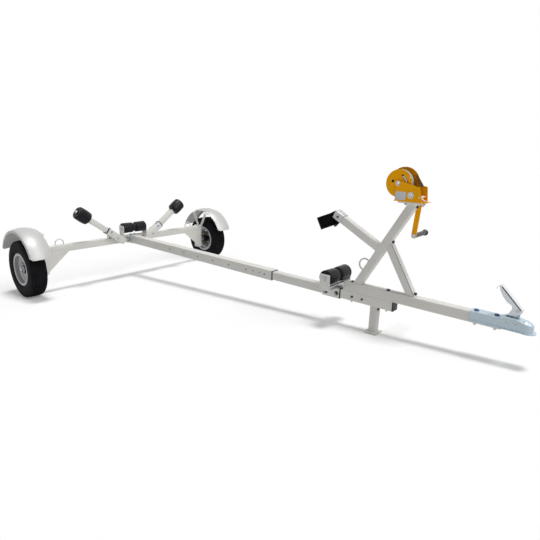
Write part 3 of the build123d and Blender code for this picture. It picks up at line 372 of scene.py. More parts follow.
rivet_tree, given, rivet_end = new_tree(
    "domed_rivets", Radius="Float", Dome="Float", Finish="Material")
ball = add_node(
    rivet_tree, "GeometryNodeMeshUVSphere", {"Segments": 14, "Rings": 8, "Radius": given["Radius"]})
flat_scale = add_node(rivet_tree, "ShaderNodeCombineXYZ", {
    "X": 1.0, "Y": 1.0, "Z": reckoned(rivet_tree, "DIVIDE", given["Dome"], given["Radius"])})
dome = add_node(rivet_tree, "GeometryNodeTransform", {
    "Geometry": ball.outputs["Mesh"], "Scale": flat_scale.outputs[0]})
set_on_aims(rivet_tree, dome.outputs["Geometry"], given, rivet_end)


def aimed_points(spots, aim_names=("aim",)):
    """Points from spots, each a place and the directions that a piece on it faces."""
    mesh = bpy.data.meshes.new("spots")
    mesh.from_pydata([level @ Vector(place) for place, *_ in spots], [], [])
    for column, aim_name in enumerate(aim_names, 1):
        aims = mesh.attributes.new(aim_name, "FLOAT_VECTOR", "POINT")
        for k, spot in enumerate(spots):
            aims.data[k].vector = (parked.to_3x3() @ Vector(spot[column])).normalized()
    return mesh


def bolted(name, finish, spots, flats, height, washer=None, thread=0, body="root"):
    """Hexagon heads or nuts, each at a spot of a place and the direction that it faces."""
    values = {
        "Across Flats": flats * MM, "Height": height * MM, "Thread": thread * MM,
        "Washer": (washer or flats * WASHER_SHARE) * MM, "Finish": finish}
    grown(name, bolt_tree, aimed_points(spots), values, body, smooth_to=25)


def riveted(name, finish, spots, radius, dome, body="root"):
    """Domed heads, each at a spot of a place and the direction that it faces."""
    values = {"Radius": radius * MM, "Dome": dome * MM, "Finish": finish}
    grown(name, rivet_tree, aimed_points(spots), values, body)


zinc = zinc_plate("zinc_plate", ZINC)
blue_zinc = zinc_plate("blue_zinc_plate", BLUE_ZINC)
black_oxide = zinc_plate("black_oxide", BLACK_OXIDE, sheen=(0.35, 0.5))
dress(zinc, "spindle_left", "spindle_right")


# ---- Keel beam and tongue
# The beam is a 60 mm tube with a row of adjusting holes, a 50 mm tube that slides in it, and a
# tongue tube bolted on top. Plastic collars line the slides, and a plug closes the front.
PLASTIC = (0.018, 0.018, 0.019)
BEAM_HALF = 30
BEAM_Z = AXLE_Z
FIRST_HOLE_X = 571
HOLE_PITCH = 160
CLAMP_HOLES = 2
HOLE_COUNT = 7
HOLE_RADIUS = 5.3
BORE_DEPTH = 2.6
BORE_INSET = 0.4
ROOT_PLATE_FACE_X = 30
ROOT_BOLT_YS = (-45, 45)
ROOT_BOLT_RISES = (-14, 14)
ROOT_SIDE_BOLT = (52, 35)
ROOT_WELD_XS = (36, 67)
ROOT_WELD_Y = 31.5
TONGUE_TOP_Z = 185
TONGUE_BOLT_XS = (2146, 2354)
SIDE_BOLT_XS = (2160, 2221)
SIDE_BOLT_Z = 109
SET_SCREW_XS = (1436, 1490)
COLLAR_HALF = 29
COLLAR_BORE_HALF = 25.1
COLLARS = (("beam_slide_collar", 1589, 5), ("bracket_slide_collar", 2081, 6))


def black_plastic(name, colour, sheen):
    """Moulded plastic with a fine spark-eroded surface."""
    return coated(
        name, colour, tones=(0.8, 1.3), cloud=(25.0,), sheen=sheen, patches=90.0,
        texture=(1200.0, 2.0), depth=0.00008)[0]


bore_tree, given, bore_end = new_tree("bores", Radius="Float", Depth="Float", Finish="Material")
bore_wall = add_node(bore_tree, "GeometryNodeMeshCylinder", {
    "Vertices": 20, "Radius": given["Radius"], "Depth": given["Depth"]})
set_on_aims(bore_tree, bore_wall.outputs["Mesh"], given, bore_end)


def bored(name, spots, radius, depth, body="root"):
    """The unlit inside of bores, seen in their mouths."""
    values = {"Radius": radius * MM, "Depth": depth * MM, "Finish": bore_black}
    grown(name, bore_tree, aimed_points(spots), values, body)


def meshed(name, edit, material, place=level):
    """The mesh of a closed piece that was drawn in millimetres, set in its place."""
    bmesh.ops.recalc_face_normals(edit, faces=edit.faces)
    bmesh.ops.transform(edit, matrix=place, verts=edit.verts)
    mesh = bpy.data.meshes.new(name)
    edit.to_mesh(mesh)
    edit.free()
    mesh.materials.append(material)
    return mesh


def square_collar(name, x, depth):
    """A plastic collar round the sliding tube, ahead of a place along the beam."""
    edit = bmesh.new()
    loops = []
    for half_size, ahead in (
            (COLLAR_HALF, 0), (COLLAR_HALF, depth), (COLLAR_BORE_HALF, depth), (COLLAR_BORE_HALF, 0)):
        corners = rectangle(-half_size, half_size, BEAM_Z - half_size, BEAM_Z + half_size)
        loops.append([edit.verts.new((x + ahead, y, z)) for y, z in corners])
    for k in range(4):
        here, after = loops[k - 1], loops[k]
        for j in range(4):
            edit.faces.new((here[j - 1], here[j], after[j], after[j - 1]))
    shown(name, meshed(name, edit, plastic), "root", smooth_to=30)


plastic = black_plastic("black_plastic", PLASTIC, sheen=(0.42, 0.55))
bore_black = black_plastic("unlit_bore", shade(PLASTIC, 0.3), sheen=(0.8, 0.95))
softened(paint, "frame_paint", "beam_front_tube", "tongue_tube", bend=TUBE_CORNER)
softened(paint, "frame_paint", "beam_root_bracket", bend=1.2)
dress(paint, "beam_rear_tube")
softened(plastic, "black_plastic", "beam_end_cap", bend=1.5)

hole_xs = [FIRST_HOLE_X + k * HOLE_PITCH for k in range(HOLE_COUNT)]
clamp_xs, open_xs = hole_xs[:CLAMP_HOLES], hole_xs[CLAMP_HOLES:]
bored(
    "adjusting_hole_bores",
    [((x, side * (BEAM_HALF - BORE_INSET - BORE_DEPTH / 2), BEAM_Z), (0, side, 0))
     for x in open_xs for _, side in SIDES], radius=HOLE_RADIUS, depth=BORE_DEPTH)
bolted(
    "beam_clamp_bolts", zinc, [((x, -BEAM_HALF, BEAM_Z), RIGHT) for x in clamp_xs],
    flats=16, height=6.5)
bolted(
    "beam_clamp_nuts", zinc, [((x, BEAM_HALF, BEAM_Z), LEFT) for x in clamp_xs],
    flats=16, height=8.5, thread=5)
root_bolts = [((ROOT_PLATE_FACE_X, y, BEAM_Z + z), AHEAD) for y in ROOT_BOLT_YS for z in ROOT_BOLT_RISES]
root_bolts += [((ROOT_SIDE_BOLT[0], side * ROOT_SIDE_BOLT[1], BEAM_Z), (0, side, 0)) for _, side in SIDES]
bolted("beam_root_bolts", zinc, root_bolts, flats=16, height=6.5)
bolted(
    "tongue_top_bolts", black_oxide, [((x, 0, TONGUE_TOP_Z), UP) for x in TONGUE_BOLT_XS],
    flats=15, height=5.5)
bolted(
    "tongue_bottom_nuts", zinc, [((x, 0, BEAM_Z - TUBE_HALF), DOWN) for x in TONGUE_BOLT_XS],
    flats=15, height=7, thread=8)
bolted(
    "beam_side_bolts", black_oxide, [((x, -TUBE_HALF, SIDE_BOLT_Z), RIGHT) for x in SIDE_BOLT_XS],
    flats=9, height=4, thread=9)
bolted(
    "beam_side_nuts", zinc, [((x, TUBE_HALF, SIDE_BOLT_Z), LEFT) for x in SIDE_BOLT_XS],
    flats=12, height=6, thread=4)
riveted(
    "beam_set_screws", black_oxide, [((x, -BEAM_HALF, BEAM_Z + 3), RIGHT) for x in SET_SCREW_XS],
    radius=3.6, dome=5)
for collar in COLLARS:
    square_collar(*collar)
welded("root_bracket_welds", *[
    [(x, side * ROOT_WELD_Y, BEAM_Z + z) for x in ROOT_WELD_XS]
    for _, side in SIDES for z in (-BEAM_HALF - 0.5, BEAM_HALF + 0.5)])


# ---- Wheels
# Each wheel is a welded steel rim, painted silver, on a black cast hub with four plated nuts and
# a pressed dust cap. The tyre is a small bias-ply trailer tyre with five zig-zag ribs.
SILVER = (0.44, 0.445, 0.46)
CAST_BLACK = (0.012, 0.012, 0.013)
RUBBER = (0.010, 0.010, 0.0115)
NUT_GOLD = (0.52, 0.34, 0.13)
BRIGHT_ZINC = (0.56, 0.57, 0.59)
WHEEL_Y = 845
TYRE_RADIUS = 205
TYRE_HALF_WIDTH = 57.5
TREAD_HALF_WIDTH = 46
TREAD_CROWN = 4
GROOVE_DEPTH = 5.5
BEAD_TOP_RADIUS = 118.5
BEAD_TOP_WIDTH = 49.5
TYRE_INSIDE = (
    (104, -46), (120, -38), (160, -46), (186, -36), (192, 0), (186, 36), (160, 46), (120, 38), (104, 46))
WALL_STEPS = 24
TREAD_BASE_YS = (30, 15, 0, -15, -30)
RIB_OFFSETS = (-37.6, -19, 0, 19, 37.6)
RIB_WIDTH = 15.4
RIB_ZIGZAG = 2.2
BLOCKS = 62
BLOCK_SHARE = 0.93
BLOCK_ROOT = 2
SIDEWALL_RIDGES = ((0.16, 1.1), (0.24, 0.9), (0.62, 0.8), (0.80, 1.2), (0.86, 1.0), (0.92, 1.2))
RIDGE_HALF_SHARE = 0.03
RIM_EDGE_RADIUS = 114.5
RIM_EDGE_OFFSET = 48.9
RIM_EDGE_BEAD = 2.6
CAP_RADIUS = 24.4
CAP_START = 29
CAP_END = 46.2
STUD_REACH = 35.3553
HUB_FLANGE = 12.2
VALVE_RADIUS = 95
VALVE_ANGLE = -62
VALVE_INSET = 10


def rubber(name, colour, sheen=(0.5, 0.65), gloss=0.03):
    """Vulcanised rubber, slightly bloomed."""
    material, shader = coated(
        name, colour, tones=(0.75, 1.45), cloud=(18.0, 5.0), sheen=sheen, patches=60.0,
        texture=(1500.0, 2.0), depth=0.0001)
    shader.inputs["Specular IOR Level"].default_value = gloss
    return material


def lathed(name, outlines, place, material, body, steps=48, smooth_to=38):
    """A piece turned about its own Z from closed outlines of (radius, height)."""
    edit = bmesh.new()
    for outline in outlines:
        rings = []
        for k in range(steps):
            turn = math.radians(360 * k / steps)
            rings.append([
                edit.verts.new((max(0, radius) * math.cos(turn), max(0, radius) * math.sin(turn), height))
                for radius, height in outline])
        for k in range(steps):
            here, after = rings[k - 1], rings[k]
            for j in range(len(outline)):
                edit.faces.new((here[j - 1], after[j - 1], after[j], here[j]))
    bmesh.ops.remove_doubles(edit, verts=edit.verts, dist=0.001)
    return shown(name, meshed(name, edit, material, level @ place), body, smooth_to)


def eased(outline, easing, steps=3):
    """A closed outline with short curves at its corners."""
    eased_outline = []
    for k, corner in enumerate(outline):
        corner = Vector(corner)
        before = Vector(outline[k - 1]) - corner
        after = Vector(outline[(k + 1) % len(outline)]) - corner
        reach = min(easing, 0.45 * before.length, 0.45 * after.length)
        start = corner + before.normalized() * reach
        end = corner + after.normalized() * reach
        for j in range(steps + 1):
            share = j / steps
            eased_outline.append(
                start * (1 - share) ** 2 + corner * 2 * share * (1 - share) + end * share ** 2)
    return eased_outline


def round_outline(x, y, radius, steps=24):
    """The points of a circle, for a hole, or for a bead that runs round a turned piece."""
    turns = [math.radians(360 * k / steps) for k in range(steps)]
    return [(x + radius * math.cos(turn), y + radius * math.sin(turn)) for turn in turns]


def facing_out(side, x=0, y=0, z=0):
    """Where a piece drawn along Z lies when it points to the left (1) or the right (-1)."""
    return Matrix.Translation((x, y, z)) @ Matrix.Rotation(math.radians(-90 * side), 4, "X")


def tyre_outline():
    """The section of the tyre under its tread blocks, from one bead to the other."""
    edge_radius = TYRE_RADIUS - TREAD_CROWN
    widest_radius = (edge_radius + BEAD_TOP_RADIUS) / 2
    wall = []
    for k in range(WALL_STEPS + 1):
        share = k / WALL_STEPS
        turn = math.radians(180 * share - 90)
        far_width, reach = (
            (BEAD_TOP_WIDTH, widest_radius - BEAD_TOP_RADIUS) if turn < 0
            else (TREAD_HALF_WIDTH, edge_radius - widest_radius))
        width = far_width + (TYRE_HALF_WIDTH - far_width) * math.cos(turn)
        ridge = sum(height * max(0, 1 - abs(share - at) / RIDGE_HALF_SHARE) for at, height in SIDEWALL_RIDGES)
        wall.append((widest_radius + reach * math.sin(turn), width - ridge))
    wall[-1] = (edge_radius - GROOVE_DEPTH, TREAD_HALF_WIDTH - 1)
    wall.insert(-1, (edge_radius - 0.2, TREAD_HALF_WIDTH))
    base = [(TYRE_RADIUS - GROOVE_DEPTH - TREAD_CROWN * (y / TREAD_HALF_WIDTH) ** 2, y)
            for y in TREAD_BASE_YS]
    bead_heel = (BEAD_TOP_RADIUS - 1, BEAD_TOP_WIDTH - 2.2)
    far_wall = [(radius, -width) for radius, width in reversed(wall)]
    return [*wall, *base, *far_wall, (bead_heel[0], -bead_heel[1]), *TYRE_INSIDE, bead_heel]


tread_tree, given, tread_end = new_tree(
    "tread_ribs", Block_Length="Float", Rib_Width="Float", Block_Height="Float", Zigzag="Float",
    Finish="Material")
block_size = add_node(tread_tree, "ShaderNodeCombineXYZ", {
    "X": given["Block Length"], "Y": given["Rib Width"], "Z": given["Block Height"]})
block = add_node(tread_tree, "GeometryNodeMeshCube", {
    "Size": block_size.outputs[0], "Vertices X": 3, "Vertices Y": 2, "Vertices Z": 2})
spot = add_node(tread_tree, "GeometryNodeInputPosition", {}).outputs["Position"]
spot_along = add_node(tread_tree, "ShaderNodeSeparateXYZ", {0: spot}).outputs["X"]
from_middle = reckoned(tread_tree, "ABSOLUTE", spot_along)
length_share = reckoned(tread_tree, "DIVIDE", from_middle, given["Block Length"])
swing = reckoned(tread_tree, "MULTIPLY_ADD", length_share, 4.0, -1.0)
bend = add_node(
    tread_tree, "ShaderNodeCombineXYZ", {"Y": reckoned(tread_tree, "MULTIPLY", swing, given["Zigzag"])})
bent_block = add_node(tread_tree, "GeometryNodeSetPosition", {
    "Geometry": block.outputs["Mesh"], "Offset": bend.outputs[0]})
turned = add_node(tread_tree, "FunctionNodeAxesToRotation", {
    "Primary Axis": aim_of(tread_tree, "outward"), "Secondary Axis": aim_of(tread_tree, "rolling")},
    primary_axis="Z", secondary_axis="X")
set_on_points(tread_tree, bent_block.outputs["Geometry"], turned, given, tread_end)


def tread_spots(side):
    """A place under each tread block, with the directions outwards and along the tread."""
    spots = []
    for row, offset in enumerate(RIB_OFFSETS):
        top = TYRE_RADIUS - TREAD_CROWN * (abs(offset) / TREAD_HALF_WIDTH) ** 2 - 0.5
        for k in range(BLOCKS):
            turn = math.radians(360 * (k + 0.5 * (row % 2)) / BLOCKS)
            outward = Vector((math.cos(turn), 0, math.sin(turn)))
            middle = outward * (top - GROOVE_DEPTH / 2 - 1)
            spots.append((
                middle + Vector((0, side * WHEEL_Y + offset, 0)), outward,
                (-math.sin(turn), 0, math.cos(turn))))
    return spots


silver = powder_coat("rim_silver_paint", SILVER, metal=0.45)
cast_black = black_plastic("cast_hub_black", CAST_BLACK, sheen=(0.35, 0.5))
tyre_rubber = rubber("tyre_rubber", RUBBER)
gold_zinc = zinc_plate("gold_passivate", NUT_GOLD)
bright_zinc = zinc_plate("bright_zinc", BRIGHT_ZINC, sheen=(0.24, 0.36))
dress(silver, "rim_left", "rim_right")
dress(cast_black, "hub_left", "hub_right")
block_length = 2 * math.pi * TYRE_RADIUS / BLOCKS * BLOCK_SHARE
cap_outline = eased([
    (0, CAP_START), (CAP_RADIUS, CAP_START), (CAP_RADIUS, CAP_END - 6), (CAP_RADIUS - 8, CAP_END),
    (0, CAP_END + 0.1)], 3)
stem_outline = eased([(0, 0), (6.5, 0), (5.2, 9), (4, 11), (4, 24), (0, 24)], 1.2)
valve_cap_outline = eased([(0, 24), (4.4, 24), (4.4, 33), (2.8, 35), (0, 35)], 0.8)
valve_turn = math.radians(VALVE_ANGLE)
studs = rectangle(-STUD_REACH, STUD_REACH, -STUD_REACH, STUD_REACH)
for side_name, side in SIDES:
    body = "wheel_" + side_name
    on_wheel = facing_out(side, y=side * WHEEL_Y)
    carcass = lathed(
        "tyre_carcass_" + side_name, [tyre_outline()], on_wheel, tyre_rubber, body, steps=120,
        smooth_to=30)
    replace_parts(carcass, "tyre_" + side_name)
    grown(
        "tyre_tread_" + side_name, tread_tree,
        aimed_points(tread_spots(side), ("outward", "rolling")),
        {"Block Length": block_length * MM, "Rib Width": RIB_WIDTH * MM,
         "Block Height": (GROOVE_DEPTH + BLOCK_ROOT) * MM, "Zigzag": RIB_ZIGZAG * MM,
         "Finish": tyre_rubber}, body, smooth_to=20)
    lathed(
        "rim_rolled_edges_" + side_name,
        [round_outline(RIM_EDGE_RADIUS, way * RIM_EDGE_OFFSET, RIM_EDGE_BEAD, 10) for way in (1, -1)],
        on_wheel, silver, body, steps=96)
    lathed("dust_cap_" + side_name, [cap_outline], on_wheel, bright_zinc, body)
    lathed(
        "dust_cap_rib_" + side_name, [round_outline(CAP_RADIUS, CAP_START + 3, 1.2, 8)], on_wheel,
        bright_zinc, body)
    nut_spots, head_spots = (
        [((x, side * (WHEEL_Y - inset), z), (0, way, 0)) for x, z in studs]
        for inset, way in ((0, side), (HUB_FLANGE, -side)))
    bolted(
        "wheel_nuts_" + side_name, gold_zinc, nut_spots, flats=19, height=14, washer=11.5, thread=6,
        body=body)
    bolted(
        "stud_heads_" + side_name, gold_zinc, head_spots, flats=17, height=5, washer=10, body=body)
    valve = facing_out(
        side, x=VALVE_RADIUS * math.cos(valve_turn), y=side * (WHEEL_Y + VALVE_INSET),
        z=VALVE_RADIUS * math.sin(valve_turn))
    lathed("valve_stem_" + side_name, [stem_outline], valve, tyre_rubber, body, steps=16)
    lathed(
        "valve_cap_" + side_name, [valve_cap_outline], valve, plastic, body, steps=16)


# ---- Fenders and stays
# Each fender is one pressed sheet, painted silver, with its inner and outer edges rolled over a
# wire. Two bent flat stays bolt it to the outside of the hub carrier.
FENDER = (0.53, 0.53, 0.515)
FOLD_SHADE = (0.16, 0.17, 0.19)
FENDER_RADIUS = 282
FENDER_CENTRE_Z = 10
FENDER_INNER_Y = 768
FENDER_OUTER_Y = 913
FENDER_CROWN = 16
FENDER_LIP = 13
FENDER_END_ANGLE = 21
FENDER_CORNER = 26
EDGE_WIRE = 2.6
ARCH_STEPS = 48
STAY_SPREAD = 19
STAY_GRIP = 6.5
STAY_BOLT_YS = (776, 799)
STAY_FACE_Y = 754
STAY_FOOT_BOLT_ZS = (121, 97)

wire_tree, given, wire_end = new_tree("bent_wire", Radius="Float", Finish="Material")
route = add_node(wire_tree, "GeometryNodeMeshToCurve", {"Mesh": given["Geometry"]})
section = add_node(
    wire_tree, "GeometryNodeCurvePrimitiveCircle", {"Resolution": 10, "Radius": given["Radius"]})
wire = add_node(wire_tree, "GeometryNodeCurveToMesh", {
    "Curve": route.outputs["Curve"], "Profile Curve": section.outputs["Curve"], "Fill Caps": True})
end_tree(wire_tree, wire.outputs["Mesh"], given["Finish"], wire_end)


def wired(name, finish, *runs, radius, body="root", slot="zinc"):
    """Round wire or a rolled edge along each run of points."""
    values = {"Radius": radius * MM, "Finish": finish}
    grown(name, wire_tree, line_mesh(runs), values, body, smooth_to=60)


def fender_edge(side, y, radius):
    """Points round the wheel arch, from one rounded corner to the other."""
    end_angle = FENDER_END_ANGLE + math.degrees(FENDER_CORNER / FENDER_RADIUS)
    turns = [math.radians(end_angle + (180 - 2 * end_angle) * k / ARCH_STEPS) for k in range(ARCH_STEPS + 1)]
    return [(radius * math.cos(turn), side * y, FENDER_CENTRE_Z + radius * math.sin(turn))
            for turn in turns]


def fender_sag(y):
    """How far the crowned sheet falls below the top of its crown at a place across it."""
    half_width = (FENDER_OUTER_Y - FENDER_INNER_Y) / 2
    bend_radius = (half_width ** 2 + FENDER_CROWN ** 2) / (2 * FENDER_CROWN)
    from_middle = y - (FENDER_INNER_Y + FENDER_OUTER_Y) / 2
    return bend_radius - math.sqrt(bend_radius ** 2 - from_middle ** 2)


fender_finish = powder_coat("fender_silver_paint", FENDER, metal=0.25, coat=0.3)
# The dark wire along each fender's outer fold, in FOLD_SHADE, is painted shade in the crease.
fold_shade_finish = powder_coat("fender_fold_painted_shade", FOLD_SHADE)
dress(fender_finish, "fender_left", "fender_right")
dress(paint, "fender_stay_left", "fender_stay_right")
skirt_radius = FENDER_RADIUS - FENDER_CROWN
for side_name, side in SIDES:
    for name, finish, wire_radius, y, radius in (
            ("fender_rolled_edge_", fender_finish, EDGE_WIRE, FENDER_OUTER_Y - EDGE_WIRE,
             skirt_radius - FENDER_LIP + EDGE_WIRE),
            ("fender_fold_shade_line_", fold_shade_finish, 1.5, FENDER_OUTER_Y - 1.7, skirt_radius + 0.6),
            ("fender_inner_edge_", fender_finish, EDGE_WIRE * 0.7, FENDER_INNER_Y + 2, skirt_radius - 3)):
        wired(
            name + side_name, finish, fender_edge(side, y, radius), radius=wire_radius,
            slot="fender_silver")
    heads = []
    nuts = []
    for angle in (90 - STAY_SPREAD, 90 + STAY_SPREAD):
        up = Vector((math.cos(math.radians(angle)), 0, math.sin(math.radians(angle))))
        for y in STAY_BOLT_YS:
            skin = FENDER_RADIUS - fender_sag(y)
            centre = Vector((0, side * y, FENDER_CENTRE_Z))
            heads.append((centre + up * skin, up))
            nuts.append((centre + up * (skin - STAY_GRIP), -up))
    riveted("fender_coach_heads_" + side_name, bright_zinc, heads, radius=7.5, dome=3.2)
    bolted("fender_stay_nuts_" + side_name, blue_zinc, nuts, flats=13, height=6.5, thread=3)
    bolted(
        "stay_foot_bolts_" + side_name, zinc,
        [((0, side * STAY_FACE_Y, z), (0, side, 0)) for z in STAY_FOOT_BOLT_ZS], flats=15, height=6)


# ---- Keel rollers
# Moulded black rubber rollers with a groove for the keel turn on plated pins in folded steel
# brackets. A washer and a cotter pin hold each pin end, and a spacer tube ties the front bracket.
ROLLER_BLACK = (0.0065, 0.0065, 0.0095)
STUD_ZINC = (0.50, 0.62, 0.74)
SPACER_ZINC = (0.52, 0.53, 0.55)
REAR_ROLLER = (38, 208)
FRONT_ROLLER = (2034, 203)
KEEL_HALF_LENGTH = 100
KEEL_RADIUS = 42
KEEL_BORE = 8.05
KEEL_END = ((-10, 0), (-10, 4), (-6, 4), (-6, 0), (0, 0), (0, 8), (-1.4, 9), (-1.4, 14), (0, 15))
KEEL_GROOVE = ((40.6, 18), (39.4, 15), (30, 11.5))
PIN_HOLE_RADIUS = 7.8
PIN_WASHER_RADIUS = 14
PIN_WASHER_SHEET = 2.4
BRACKET_FACE_Y = 110
COTTER_Y = 114.4
COTTER_WIRE = 1.2
COTTER_EYE = ((-2, 13), (-1, 15.5), (1, 15.5), (2, 13))
COTTER_LEG = ((0.8, 10), (0.6, -9), (5, -14))
REAR_BOLT_XS = (22, 54)
REAR_BOLT_YS = (-17, 17)
REAR_BASE_Z = 145
FRONT_BASE_BOLT = (2076, 0, 135)
CHEEK_FACE_Y = 30
CHEEK_BOLTS = ((1994, 104), (2064, 108))
CHEEK_STUD_YS = (-36, -57)
SPACER_TUBE = (2062, 152)
SPACER_HALF_LENGTH = 105

roller_rubber = rubber("roller_rubber", ROLLER_BLACK, sheen=(0.26, 0.36), gloss=0.2)
stud_zinc = zinc_plate("stud_zinc", STUD_ZINC)
spacer_zinc = zinc_plate("spacer_zinc", SPACER_ZINC, sheen=(0.2, 0.3), metal=0.9)
half_outline = [
    (KEEL_BORE, KEEL_HALF_LENGTH),
    *[(KEEL_RADIUS + swell, KEEL_HALF_LENGTH - inset) for swell, inset in KEEL_END], *KEEL_GROOVE]
keel_outline = eased(
    [(radius, -height) for radius, height in half_outline] + half_outline[::-1], 2.2)
washer_outline = eased(
    rectangle(PIN_HOLE_RADIUS, PIN_WASHER_RADIUS, 0, PIN_WASHER_SHEET), 0.5)
dress(zinc, "rear_roller_pin", "front_roller_pin")
softened(paint, "frame_paint", "rear_roller_bracket", "front_roller_bracket", bend=1.6)
for place_name, (x, z) in (("rear", REAR_ROLLER), ("front", FRONT_ROLLER)):
    keel_roller = lathed(
        place_name + "_keel_rubber", [keel_outline], facing_out(1, x=x, z=z), roller_rubber,
        place_name + "_roller", steps=72, smooth_to=30)
    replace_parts(keel_roller, place_name + "_keel_roller")
    for side_name, side in SIDES:
        lathed(
            place_name + "_pin_washer_" + side_name, [washer_outline],
            facing_out(side, x, side * BRACKET_FACE_Y, z), zinc, "root", steps=28)
        near_leg, far_leg = (
            [(x + way * ahead, side * COTTER_Y, z + above) for ahead, above in COTTER_LEG]
            for way in (1, -1))
        eye = [(x + ahead, side * COTTER_Y, z + above) for ahead, above in COTTER_EYE]
        wired(place_name + "_cotter_" + side_name, zinc, eye + near_leg, far_leg, radius=COTTER_WIRE)
bolted(
    "rear_bracket_bolts", zinc, [((x, y, REAR_BASE_Z), UP) for x in REAR_BOLT_XS for y in REAR_BOLT_YS],
    flats=15, height=6)
bolted("front_base_bolt", zinc, [(FRONT_BASE_BOLT, UP)], flats=15, height=6)
bolted(
    "front_cheek_nuts", black_oxide, [((x, -CHEEK_FACE_Y, z), RIGHT) for x, z in CHEEK_BOLTS],
    flats=17, height=8)
bolted(
    "front_cheek_heads", zinc, [((x, CHEEK_FACE_Y, z), LEFT) for x, z in CHEEK_BOLTS],
    flats=17, height=7)
wired(
    "front_cheek_studs", stud_zinc,
    *[[(x, y, z) for y in CHEEK_STUD_YS] for x, z in CHEEK_BOLTS], radius=5.4)
wired(
    "front_spacer_tube", spacer_zinc,
    [(SPACER_TUBE[0], way * SPACER_HALF_LENGTH, SPACER_TUBE[1]) for way in (-1, 1)], radius=11)


# ---- Side rollers and their arms
# Square sleeves hold sliding arms, each with a barrel roller at its end, a plastic collar in the
# sleeve's mouth and plated clamp bolts. A plate with a short foot behind each sleeve is bolted to
# the axle, and the sleeve stands on a small moulded rest.
CLAMP_ZINC = (0.36, 0.46, 0.58)
ARM_ANGLE = 36
ARM_FOOT = (55, 142, 131)
ROLLER_START = 313
SIDE_ROLLER_LENGTH = 104
SIDE_ROLLER_RADIUS = 52
SIDE_BORE = 8.05
SIDE_RECESS_RADII = (20, 30)
SIDE_SWELL = ((-10, 0), (-3, 7), (-1.2, 26), (0, 52), (-1.2, 78), (-3, 97), (-10, 104))
END_NUT_GAP = 3
CLAMP_BOLT = (104, 9)
FOOT_BOLT = (26, -7)
TOP_BOLT_AT = 118
PLATE_XS = (25, 30)
PLATE_CORNERS = ((-40, -20), (-40, 20), (95, 20), (95, -22))
PLATE_FOOT = ((234, 134.5), (217, 134.5))
PLATE_NECK = (78, -22)
REST_XS = (-6, 24)
REST_OUTLINE = ((188, 134.8), (214, 134.8), (214, 151))
SLEEVE_WELDS = ((26, -6, 70), (-26, 12, 95))


def up_arm(side, distance, ahead=0, above=0):
    """A point on the left or right arm: along its axis, ahead of it and square above it."""
    lean = math.radians(ARM_ANGLE)
    x, y, z = ARM_FOOT
    along_y = distance * math.cos(lean) - above * math.sin(lean)
    along_z = distance * math.sin(lean) + above * math.cos(lean)
    return (x + ahead, side * (y + along_y), z + along_z)


def flat_piece(corners, thickness):
    """A flat outline given its thickness, a vector, and left open to edit."""
    edit = bmesh.new()
    flat = edit.faces.new([edit.verts.new(corner) for corner in corners])
    carried = bmesh.ops.extrude_face_region(edit, geom=[flat])
    far_corners = [made for made in carried["geom"] if isinstance(made, bmesh.types.BMVert)]
    bmesh.ops.translate(edit, verts=far_corners, vec=thickness)
    return edit


def upright(name, outline, span, material):
    """A sheet with an outline of (y, z), between two planes along the trailer."""
    edit = flat_piece([(span[0], y, z) for y, z in outline], (span[1] - span[0], 0, 0))
    return shown(name, meshed(name, edit, material), "root", smooth_to=30)


clamp_zinc = zinc_plate("clamp_zinc", CLAMP_ZINC)
inner, outer = SIDE_RECESS_RADII
length = SIDE_ROLLER_LENGTH
side_outline = eased([
    (SIDE_BORE, 0), (inner, 0), (inner, 4), (outer, 4), (outer, 0),
    *[(SIDE_ROLLER_RADIUS + swell, height) for swell, height in SIDE_SWELL], (outer, length),
    (outer, length - 5), (inner, length - 5), (inner, length), (SIDE_BORE, length)], 2.6)
softened(
    paint, "frame_paint", "side_arm_sleeve_left", "side_arm_sleeve_right", "side_arm_left",
    "side_arm_right", bend=1.8)
softened(plastic, "black_plastic", "side_arm_collars", bend=1.2)
lean = math.radians(ARM_ANGLE)
weld_ahead = 1 - TUBE_HALF
for side_name, side in SIDES:
    on_arm = Matrix.Translation(up_arm(side, ROLLER_START)) @ Matrix.Rotation(
        side * (lean - math.pi / 2), 4, "X")
    barrel = lathed(
        "side_roller_rubber_" + side_name, [side_outline], on_arm, roller_rubber,
        "side_roller_" + side_name, steps=72, smooth_to=30)
    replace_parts(barrel, "side_roller_" + side_name)
    bolted(
        "side_roller_end_nut_" + side_name, zinc,
        [(up_arm(side, ROLLER_START + SIDE_ROLLER_LENGTH + END_NUT_GAP),
          (0, side * math.cos(lean), math.sin(lean)))], flats=13, height=5, washer=14)
    clamp_at, foot_at = (
        up_arm(side, distance, TUBE_HALF, above) for distance, above in (CLAMP_BOLT, FOOT_BOLT))
    bolted("sleeve_clamp_bolt_" + side_name, clamp_zinc, [(clamp_at, AHEAD)], flats=13, height=6, thread=4)
    bolted("sleeve_foot_bolt_" + side_name, zinc, [(foot_at, AHEAD)], flats=13, height=6)
    plate_outline = [
        *[up_arm(side, distance, above=above)[1:] for distance, above in PLATE_CORNERS],
        *[(side * y, z) for y, z in PLATE_FOOT], up_arm(side, PLATE_NECK[0], above=PLATE_NECK[1])[1:]]
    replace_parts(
        upright("sleeve_plate_" + side_name, plate_outline, PLATE_XS, paint),
        "side_arm_bracket_" + side_name)
    upright(
        "sleeve_rest_" + side_name, [(side * y, z) for y, z in REST_OUTLINE], REST_XS, plastic)
    bolted(
        "sleeve_top_bolt_" + side_name, zinc,
        [(up_arm(side, TOP_BOLT_AT, above=TUBE_HALF), (0, -side * math.sin(lean), math.cos(lean)))],
        flats=14, height=6)
    welded("sleeve_welds_" + side_name, *[
        [up_arm(side, distance, weld_ahead, above) for distance in (start, end)]
        for above, start, end in SLEEVE_WELDS])


